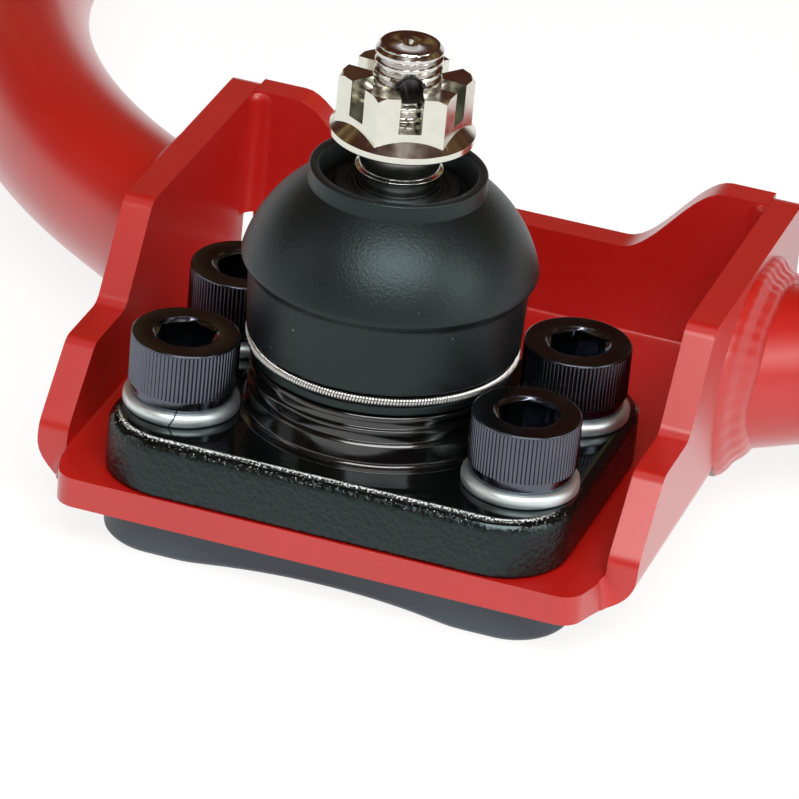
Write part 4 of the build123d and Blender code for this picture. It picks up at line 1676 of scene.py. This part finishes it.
@dataclass
class CapScrew:
    """A hexagon socket head cap screw with a straight-knurled head, and its split spring washer."""

    corner: str
    socket_turn: float = 0.0  # direction of one flat, degrees
    split_turn: float = 0.0  # direction of the washer's split, degrees
    head_radius: float = 8.0
    base_radius: float = 7.6
    base_height: float = 1.8
    flats: float = 8.0
    socket_depth: float = 5.0
    shank_radius: float = 5.0
    ridges: int = 80
    ridge: float = 0.36  # radius of each
    grip: float = 0.34  # the core lies this far inside the ridges' crests
    shank_chamfer: float = 0.8
    washer_bore: float = 5.3
    split: float = 0.028  # width of the washer's split, radians
    slant: float = 0.12  # how far the split leans from foot to head, radians
    count: int = 96

    def __post_init__(self) -> None:
        """Reads the screw's place from the frame."""
        washer = f"{self.corner}_spring_washer"
        screw = f"{self.corner}_cap_screw"
        self.washer_height = high(washer).z - low(washer).z
        self.washer_radius = (high(washer).y - low(washer).y) / 2
        self.seat = Vector((middle(screw).x, middle(screw).y, high(washer).z))
        self.height = high(screw).z - self.seat.z
        self.knurl_top = self.height - 0.3
        self.length = self.seat.z - low(screw).z

    def hexagon(self, height: float, flats: float) -> Ring:
        """One ring of the socket."""
        turn = math.radians(self.socket_turn)
        return shaped_ring(self.seat, height, lambda a: polygon_radius(a, flats, turn), self.count, turn)

    def build(self, knurl: ShapeTree) -> None:
        """Makes the screw's core, presses the knurl's ridges round it, and lays the washer.

        Args:
            knurl: the tree that makes the ridges.
        """
        core = self.head_radius - self.grip
        outside = rounded([
            (0.0, -self.length),
            (self.shank_radius - self.shank_chamfer, -self.length),
            (self.shank_radius, -self.length + self.shank_chamfer),
            (self.shank_radius, 0.0),
            (self.base_radius, 0.0, 0.35),
            (self.base_radius, self.base_height, 0.2),
            (core, self.base_height + 0.15, 0.0),
            (core, self.knurl_top - 0.3, 0.0),
            (self.head_radius - 0.08, self.knurl_top, 0.1),
            (self.head_radius - 0.12, self.height - 0.1, 0.1),
            (self.head_radius - 0.3, self.height, 0.15),
            (self.flats / 2 + 0.85, self.height, 0.12),
            (self.flats / 2 + 0.55, self.height - 0.3, 0.0),
        ], steps=4)
        rings = turned_rings(self.seat, outside, self.count)
        floor = self.height - self.socket_depth
        rings += [self.hexagon(self.height - 0.5, self.flats), self.hexagon(floor, self.flats)]
        rings += turned_rings(self.seat, [(self.flats / 2 - 0.5, floor), (0.0, floor - 1.2)], self.count)
        piece = mesh_piece(f"{self.corner}_screw", *skin_rings(rings), crease=32)
        dress(piece, BLACK_OXIDE, "ball_joint", [f"{self.corner}_cap_screw"])
        ridges = knurl.piece(
            f"{self.corner}_screw_knurl",
            {
                "Ridges": self.ridges,
                "Radius": (self.head_radius - self.ridge) * MM,
                "Ridge Radius": self.ridge * MM,
                "Length": (self.knurl_top - self.base_height) * MM,
                "Foot": tuple((self.seat + Vector((0, 0, self.base_height))) * MM),
            },
        )
        dress(ridges, BLACK_OXIDE, "ball_joint")
        self.lay_washer()

    def lay_washer(self) -> None:
        """Sweeps the washer's rounded section round to its slanted split, and caps both ends."""
        height, outer, inner = self.washer_height, self.washer_radius, self.washer_bore
        section = rounded([
            (inner, height / 2), (inner, 0.0, 0.3), (outer, 0.0, 0.4), (outer, height, 1.15),
            (inner, height, 0.3), (inner, height / 2 + 0.01),
        ], steps=4)
        foot = self.seat - Vector((0, 0, height))
        rings: list[Ring] = []
        for i in range(self.count + 1):
            along = self.split / 2 + (math.tau - self.split) * i / self.count
            fade = 1 - 2 * i / self.count
            ring: Ring = []
            for radius, rise in section:
                lean = self.slant * (rise / height - 0.5) * fade**8
                angle = math.radians(self.split_turn) + along + lean
                ring.append((
                    foot.x + radius * math.cos(angle),
                    foot.y + radius * math.sin(angle),
                    foot.z + rise,
                ))
            rings.append(ring)
        piece = mesh_piece(f"{self.corner}_lock_washer", *capped(rings), crease=38)
        dress(piece, ZINC_PLATE, "ball_joint", [f"{self.corner}_spring_washer"])


def knurl_tree() -> ShapeTree:
    """A ring of upright ridges, as a knurling wheel presses them.

    Returns:
        The tree.
    """
    tree = ShapeTree(
        "knurl",
        {
            "Ridges": "NodeSocketInt",
            "Radius": "NodeSocketFloat",
            "Ridge Radius": "NodeSocketFloat",
            "Length": "NodeSocketFloat",
            "Foot": "NodeSocketVector",
        },
        BLACK_OXIDE,
    )
    ring = tree.add("GeometryNodeMeshCircle", {"Vertices": tree["Ridges"], "Radius": tree["Radius"]})
    top = tree.add("ShaderNodeCombineXYZ", {"Z": tree["Length"]})
    spine = tree.add("GeometryNodeCurvePrimitiveLine", {"End": top})
    section = tree.add(
        "GeometryNodeCurvePrimitiveCircle", {"Resolution": 8, "Radius": tree["Ridge Radius"]}
    )
    ridge = tree.add(
        "GeometryNodeCurveToMesh", {"Curve": spine, "Profile Curve": section, "Fill Caps": True}
    )
    pressed = tree.add("GeometryNodeInstanceOnPoints", {"Points": ring, "Instance": ridge})
    placed = tree.add("GeometryNodeTransform", {"Geometry": pressed, "Translation": tree["Foot"]})
    tree.end_with(placed)
    return tree


def coil_tree() -> ShapeTree:
    """A close-wound wire coil whose own axis runs round in a ring.

    Returns:
        The tree.
    """
    tree = ShapeTree(
        "garter",
        {
            "Turns": "NodeSocketInt",
            "Points": "NodeSocketInt",
            "Ring Radius": "NodeSocketFloat",
            "Coil Radius": "NodeSocketFloat",
            "Wire Radius": "NodeSocketFloat",
            "Middle": "NodeSocketVector",
        },
        STAINLESS_WIRE,
    )
    line = tree.add(
        "GeometryNodeCurvePrimitiveCircle", {"Resolution": tree["Points"], "Radius": tree["Ring Radius"]}
    )
    index = tree.add("GeometryNodeInputIndex")
    share = tree.math("DIVIDE", index, tree["Points"])
    round_ring = tree.math("MULTIPLY", share, math.tau)
    round_coil = tree.math("MULTIPLY", round_ring, tree["Turns"])
    out = tree.math("MULTIPLY", tree.math("COSINE", round_coil), tree["Coil Radius"])
    up = tree.math("MULTIPLY", tree.math("SINE", round_coil), tree["Coil Radius"])
    reach = tree.math("ADD", tree["Ring Radius"], out)
    place = tree.add(
        "ShaderNodeCombineXYZ",
        {
            "X": tree.math("MULTIPLY", reach, tree.math("COSINE", round_ring)),
            "Y": tree.math("MULTIPLY", reach, tree.math("SINE", round_ring)),
            "Z": up,
        },
    )
    wound = tree.add("GeometryNodeSetPosition", {"Geometry": line, "Position": place})
    section = tree.add("GeometryNodeCurvePrimitiveCircle", {"Resolution": 6, "Radius": tree["Wire Radius"]})
    wire = tree.add("GeometryNodeCurveToMesh", {"Curve": wound, "Profile Curve": section})
    placed = tree.add("GeometryNodeTransform", {"Geometry": wire, "Translation": tree["Middle"]})
    tree.end_with(placed)
    return tree


@dataclass
class Boot:
    """The rubber boot in two stretches, its garter spring, and the seal ring round the stud.

    Heights are from the flange's top face.
    """

    wall: float = 2.2
    foot_radius: float = 19.3
    foot: float = 8.6
    groove_radius: float = 18.3
    groove: tuple[float, float] = (10.0, 12.2)
    skirt_foot_radius: float = 20.0
    skirt_head_radius: float = 20.5
    fold: float = 22.6
    belly_radius: float = 21.6
    belly: float = 24.2
    shoulder: tuple[float, float] = (18.3, 31.2)
    collar_radius: float = 13.0
    collar_foot: float = 36.2
    collar: float = 38.8
    mouth_radius: float = 11.6
    floor_radius: float = 10.0
    floor: float = 34.6
    web: float = 1.6
    hole: float = 6.2
    foot_bore: float = 17.6
    wire: float = 0.2  # radius of the spring's wire
    wire_gap: float = 0.04
    wire_points: int = 9  # in each turn of the spring
    seal_bore: float = 5.95
    count: int = 160

    def build(self) -> None:
        """Makes skirt, dome, spring and seal, in that order."""
        self.mould_skirt()
        self.mould_dome()
        self.wind_spring()
        self.fit_seal()

    def mould_skirt(self) -> None:
        """Makes the stretch from the neck's groove to the belly."""
        skirt = rounded([
            (self.foot_bore, self.foot + 0.4),
            (self.foot_bore, self.foot, 0.2),
            (self.foot_radius, self.foot, 0.4),
            (self.foot_radius, self.groove[0], 0.25),
            (self.groove_radius, self.groove[0] + 0.3, 0.3),
            (self.groove_radius, self.groove[1] - 0.3, 0.3),
            (self.skirt_foot_radius, self.groove[1], 0.45),
            (self.skirt_foot_radius + 0.15, 15.0, 3.0),
            (self.skirt_head_radius, self.fold, 2.0),
            (self.belly_radius - 0.55, self.belly - 0.75, 0.5),
            (self.belly_radius - 0.8, self.belly, 0.0),
            (self.belly_radius - self.wall, self.belly, 0.0),
            (self.skirt_head_radius - self.wall, self.fold, 1.0),
            (self.skirt_foot_radius - self.wall, 13.2, 0.5),
            (self.foot_bore, self.groove[1], 0.2),
            (self.foot_bore, self.foot + 0.45),
        ], steps=5)
        piece = mesh_piece(
            "boot_skirt", *skin_rings(turned_rings(STUD, skirt, self.count), closed=True), crease=50
        )
        dress(piece, CHLOROPRENE, stands_for=["boot"])
        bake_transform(piece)

    def mould_dome(self) -> None:
        """Makes the stretch from the belly to the collar, with the cup that holds the seal."""
        dome_out = arc_points(
            (self.belly_radius, self.belly), self.shoulder, (self.collar_radius, self.collar_foot), 24
        )
        inner_shoulder = (self.shoulder[0] - self.wall, self.shoulder[1] - self.wall)
        underside = self.floor - self.web
        dome_in = arc_points(
            (self.floor_radius, underside), inner_shoulder, (self.belly_radius - self.wall, self.belly), 16
        )
        collar = rounded([
            dome_out[-1],
            (self.collar_radius, self.collar_foot + 0.15, 0.1),
            (self.collar_radius - 0.1, self.collar, 0.35),
            (self.mouth_radius, self.collar, 0.3),
            (self.floor_radius + 0.3, self.floor + 0.8, 0.4),
            (self.floor_radius - 0.6, self.floor, 0.5),
            (self.hole, self.floor, 0.3),
            (self.hole, underside, 0.3),
            (self.floor_radius - 0.3, underside, 0.4),
            dome_in[0],
        ], steps=4)
        lip = [
            (self.belly_radius - 0.75, self.belly - 0.62),
            (self.belly_radius - 0.3, self.belly - 0.62),
            (self.belly_radius - 0.05, self.belly - 0.35),
        ]
        profile = [*lip, *dome_out[:-1], *collar, *dome_in[1:]]
        piece = mesh_piece(
            "boot_dome", *skin_rings(turned_rings(STUD, profile, self.count), closed=True), crease=50
        )
        dress(piece, CHLOROPRENE, stands_for=["boot"])
        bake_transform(piece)

    def wind_spring(self) -> None:
        """Winds the garter spring that holds the boot's foot in the neck's groove."""
        spring_box = high("boot_spring_ring") - low("boot_spring_ring")
        coil = spring_box.z / 2
        ring = spring_box.x / 2 - coil
        turns = int(math.tau * ring / (2 * self.wire + self.wire_gap))
        piece = coil_tree().piece(
            "garter_spring",
            {
                "Turns": turns,
                "Points": turns * self.wire_points,
                "Ring Radius": ring * MM,
                "Coil Radius": (coil - self.wire) * MM,
                "Wire Radius": self.wire * MM,
                "Middle": tuple(Vector((STUD.x, STUD.y, middle("boot_spring_ring").z)) * MM),
            },
        )
        dress(piece, STAINLESS_WIRE, "ball_joint", ["boot_spring_ring"])

    def fit_seal(self) -> None:
        """Makes the grooved ring between the boot's cup and the stud."""
        foot, head = low("boot_seal_ring").z - STUD.z, high("boot_seal_ring").z - STUD.z
        outer = (high("boot_seal_ring").x - low("boot_seal_ring").x) / 2
        seal = rounded([
            (self.seal_bore, (foot + head) / 2),
            (self.seal_bore, foot, 0.3),
            (outer, foot, 0.4),
            (outer, head, 0.5),
            (7.6, head, 0.3),
            (7.2, head - 0.5, 0.2),
            (6.7, head - 0.5, 0.2),
            (6.4, head, 0.2),
            (self.seal_bore, head, 0.2),
            (self.seal_bore, (foot + head) / 2 + 0.01),
        ], steps=3)
        piece = mesh_piece("stud_seal", *skin_rings(turned_rings(STUD, seal, 96), closed=True), crease=45)
        dress(piece, CHLOROPRENE, "boot_collar", ["boot_seal_ring"])


@dataclass
class Stud:
    """The ball stud: ball, neck, short taper, M10 coarse thread, and a cotter hole through it."""

    thread_radius: float = 4.9
    pitch: float = 1.5
    thread_depth: float = 0.62
    crest: float = 0.34  # share of the pitch that is flat
    end_radius: float = 4.25
    chamfer_slope: float = 0.95
    dimple: tuple[tuple[float, float], ...] = ((1.25, 0.0), (1.05, 0.15), (0.45, 0.55), (0.0, 0.6))
    ball_turn: float = 2.67  # from the ball's foot to the neck, radians
    seat: float = 38.6  # the nut's taper ends in a collar here
    ball_radius: float = 11.5
    ball: float = 4.0  # heights above the flange's top face
    cotter_radius: float = 1.65
    cotter_bevel: float = 2.25  # radius of its mouth
    cotter_height: float = 53.0
    cotter_turn: float = 24.0  # degrees from -Y towards +X
    count: int = 128
    rings_per_turn: int = 22  # of the thread

    def __post_init__(self) -> None:
        """The thread starts where the nut does."""
        self.thread_foot = low("castle_nut").z - STUD.z
        self.end = high("ball_stud").z - STUD.z

    def thread(self, height: float) -> Callable[[float], float]:
        """Works out the thread's outline at a height, inside the end's chamfer.

        Args:
            height: above the flange's top face.

        Returns:
            A function that gives the radius in each direction.
        """

        def radius(angle: float) -> float:
            """The thread's radius in one direction."""
            share = (height / self.pitch - angle / math.tau) % 1.0
            flank = min(1.0, max(0.0, (abs(2 * share - 1) - self.crest) / (0.92 - self.crest)))
            run_out = min(1.0, max(0.0, (height - self.thread_foot) / self.pitch))
            crest = self.thread_radius - self.thread_depth * flank * run_out
            return min(crest, self.end_radius + (self.end - height) * self.chamfer_slope)

        return radius

    def build(self) -> None:
        """Stacks the stud's rings, then drills it for its cotter pin."""
        reach, steps = self.ball_radius, 26
        turns = [self.ball_turn * i / steps for i in range(steps + 1)]
        below = [(reach * math.sin(t), self.ball - reach * math.cos(t)) for t in turns]
        body = rounded([
            below[-1],
            (5.0, 15.2, 1.0),
            (5.0, 27.0, 4.0),
            (5.9, 30.0, 4.0),
            (5.9, self.seat, 0.3),
            (6.35, self.seat + 0.3, 0.12),
            (6.35, self.seat + 0.55, 0.1),
            (5.75, self.seat + 0.8, 0.1),
            (6.2, self.thread_foot - 0.1, 0.1),
            (self.thread_radius, self.thread_foot, 0.0),
        ], steps=4)
        rings = turned_rings(STUD, [*below[:-1], *body[:-1]], self.count)
        length = self.end - self.thread_foot
        steps = round(length / self.pitch * self.rings_per_turn)
        for i in range(steps + 1):
            height = self.thread_foot + length * i / steps
            rings.append(shaped_ring(STUD, height, self.thread(height), self.count))
        dimple = [(radius, self.end - depth) for radius, depth in self.dimple]
        rings += turned_rings(STUD, dimple, self.count)
        piece = mesh_piece("threaded_stud", *skin_rings(rings), crease=40)
        turn = math.radians(self.cotter_turn)
        way = Vector((math.sin(turn), -math.cos(turn), 0.0))
        hole = STUD + Vector((0, 0, self.cotter_height))
        inside, outside = way * (self.thread_radius - 1.0), way * (self.thread_radius + 1.0)
        bevel = (self.cotter_bevel - 0.75, self.cotter_bevel + 0.75)
        cutters = [
            round_bar(
                "cotter_hole", hole - way * 8, hole + way * 8, (self.cotter_radius, self.cotter_radius)
            ),
            round_bar("near_bevel", hole + inside, hole + outside, bevel),
            round_bar("far_bevel", hole - inside, hole - outside, bevel),
        ]
        cut_away(piece, *cutters, crease=40)
        dress(piece, GROUND_STEEL, "stud", ["ball_stud"])
        # the cotter hole's wall and mouths get the painted shade of the bore
        piece.data.materials.append(SHADED_BORE.material())
        for face in piece.data.polygons:
            arm = face.center / MM - hole
            if (arm - way * arm.dot(way)).length < self.cotter_bevel:
                face.material_index = 1


def dress_fastened_parts() -> None:
    """Rounds the nut's and the clamp plate's edges, and dresses what the housing holds."""
    nut = eased("hex_castle_nut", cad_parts["castle_nut"], 0.28)
    dress(nut, NICKEL_PLATE, "stud", ["castle_nut"])
    plate = eased("lower_clamp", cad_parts["clamp_plate"], 0.45)
    dress(plate, SLATE_PHOSPHATE, "ball_joint", ["clamp_plate"])
    for node, finish in (
        ("lower_seat", HARDENED_STEEL),
        ("preload_spring", HARDENED_STEEL),
        ("end_cover", SMOOTH_E_COAT),
        ("ball_liner", ACETAL),
    ):
        dress(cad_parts[node], finish)


# ---- studio --------------------------------------------------------------------------------
@dataclass
class Softbox:
    """A soft lamp that looks at the ball joint."""

    name: str
    place: tuple[float, float, float]  # from the ball joint, metres
    size: tuple[float, float]
    glow: float  # brightness of its face; 1 is white

    def hang(self) -> None:
        """Puts the lamp up."""
        lamp = bpy.data.lights.new(self.name, "AREA")
        lamp.shape = "RECTANGLE"
        lamp.size, lamp.size_y = self.size
        lamp.energy = self.glow * math.pi * lamp.size * lamp.size_y
        holder = linked(self.name, lamp)
        aim = STUD * MM
        holder.location = aim + Vector(self.place)
        holder.rotation_euler = (aim - holder.location).to_track_quat("-Z", "Y").to_euler()


@dataclass
class Studio:
    """A white table in a room with a white skirting and a dark ceiling, soft lamps, and the camera."""

    place: tuple[float, float, float] = (0.22711, -0.96221, 0.42133)  # camera, metres
    azimuth: float = 16.36
    elevation: float = 27.83
    roll: float = 5.46
    lens: float = 277.68
    sensor: float = 36.0
    table_white: str = "F4F4F4"
    ceiling: str = "46241B"
    beam: str = "A08A5C"  # brighter patches of the ceiling

    def set_up(self) -> None:
        """Lays the table, hangs the lamps, lights the room, and sets the camera."""
        bpy.context.scene.view_settings.view_transform = "Standard"
        self.lay_table()
        for lamp in (
            Softbox("key", (0.24, -0.6, 0.82), (0.85, 0.5), 8.0),
            Softbox("overhead", (-0.1, 0.1, 1.05), (0.5, 0.4), 1.0),
            Softbox("left", (-0.9, -0.45, 0.5), (0.3, 0.5), 1.6),
            Softbox("right", (0.95, -0.15, 0.5), (0.4, 0.5), 4.8),
        ):
            lamp.hang()
        self.light_room()
        self.set_camera()

    def lay_table(self) -> None:
        """Lays a wide white sheet under the arm, bright enough to read as white but for the shadow."""
        reach, z = 6000.0, cad_low.z / MM
        corners = [(-reach, -reach, z), (reach, -reach, z), (reach, reach, z), (-reach, reach, z)]
        table = mesh_piece("table", corners, [(0, 1, 2, 3)])
        sheet = bpy.data.materials.new("white_paper_sheet")
        sheet.use_nodes = True
        tree = sheet.node_tree
        tree.nodes.clear()
        paper = add_node(tree, "ShaderNodeBsdfDiffuse", {"Color": linear(self.table_white)})
        glow = add_node(tree, "ShaderNodeEmission", {"Color": linear("FFFFFF"), "Strength": 1.1})
        half = add_node(tree, "ShaderNodeMixShader", {0: 0.78, 1: paper, 2: glow})
        path = add_node(tree, "ShaderNodeLightPath")
        seen = add_node(
            tree,
            "ShaderNodeMath",
            {0: path.outputs["Is Camera Ray"], 1: path.outputs["Is Glossy Ray"]},
            operation="MAXIMUM",
        )
        shown = add_node(tree, "ShaderNodeMixShader", {0: seen, 1: paper, 2: half})
        add_node(tree, "ShaderNodeOutputMaterial", {"Surface": shown})
        table.data.materials.append(sheet)

    def light_room(self) -> None:
        """Lights the room: white round the horizon, dark and warm above; the camera sees white all over."""
        world = bpy.data.worlds.new("room")
        world.use_nodes = True
        tree = world.node_tree
        tree.nodes.clear()
        way = add_node(tree, "ShaderNodeTexCoord").outputs["Generated"]
        height = add_node(tree, "ShaderNodeSeparateXYZ", {"Vector": way}).outputs["Z"]
        up = add_node(
            tree,
            "ShaderNodeMapRange",
            {"Value": height, "From Min": 0.06, "From Max": 0.24},
            interpolation_type="SMOOTHSTEP",
        )
        clutter = add_node(tree, "ShaderNodeTexNoise", {"Vector": way, "Scale": 5.0, "Detail": 2.0})
        lit = add_node(tree, "ShaderNodeMapRange", {"Value": clutter, "From Min": 0.52, "From Max": 0.68})
        overhead = add_node(
            tree, "ShaderNodeMix", {0: lit, 6: linear(self.ceiling), 7: linear(self.beam)}, data_type="RGBA"
        )
        room = add_node(tree, "ShaderNodeMix", {0: up, 6: linear("FFFFFF"), 7: overhead}, data_type="RGBA")
        path = add_node(tree, "ShaderNodeLightPath")
        seen = add_node(
            tree,
            "ShaderNodeMath",
            {0: path.outputs["Is Camera Ray"], 1: path.outputs["Is Transmission Ray"]},
            operation="MAXIMUM",
        )
        shown = add_node(tree, "ShaderNodeMix", {0: seen, 6: room, 7: linear("FFFFFF")}, data_type="RGBA")
        sky = add_node(tree, "ShaderNodeBackground", {"Color": shown, "Strength": 1.0})
        add_node(tree, "ShaderNodeOutputWorld", {"Surface": sky})
        bpy.context.scene.world = world

    def set_camera(self) -> None:
        """Sets up a long lens that looks down on the ball joint, rolled a little."""
        az, el, roll = (math.radians(a) for a in (self.azimuth, self.elevation, self.roll))
        back = Vector((math.sin(az) * math.cos(el), -math.cos(az) * math.cos(el), math.sin(el)))
        right = Vector((math.cos(az), math.sin(az), 0.0))
        up = back.cross(right)
        turned_right = right * math.cos(roll) + up * math.sin(roll)
        turned_up = up * math.cos(roll) - right * math.sin(roll)
        camera = bpy.data.cameras.new("camera")
        camera.lens = self.lens
        camera.sensor_width = self.sensor
        camera.clip_end = 20.0
        holder = linked("camera", camera)
        turn = Matrix((turned_right, turned_up, back)).transposed()
        holder.matrix_world = Matrix.Translation(Vector(self.place)) @ turn.to_4x4()
        bpy.context.scene.camera = holder


def main() -> None:
    """Builds the arm, piece by piece, in its studio."""
    Studio().set_up()
    Tray().build()
    for side in Side:
        Leg(side).build()
        Pivot(side).build()
    Housing().build()
    knurl = knurl_tree()
    for screw in (
        CapScrew("front_left", socket_turn=8, split_turn=281),
        CapScrew("front_right", socket_turn=22, split_turn=95),
        CapScrew("back_left", socket_turn=40, split_turn=140),
        CapScrew("back_right", socket_turn=15, split_turn=60),
    ):
        screw.build(knurl)
    Boot().build()
    Stud().build()
    dress_fastened_parts()


if __name__ == "__main__":
    main()
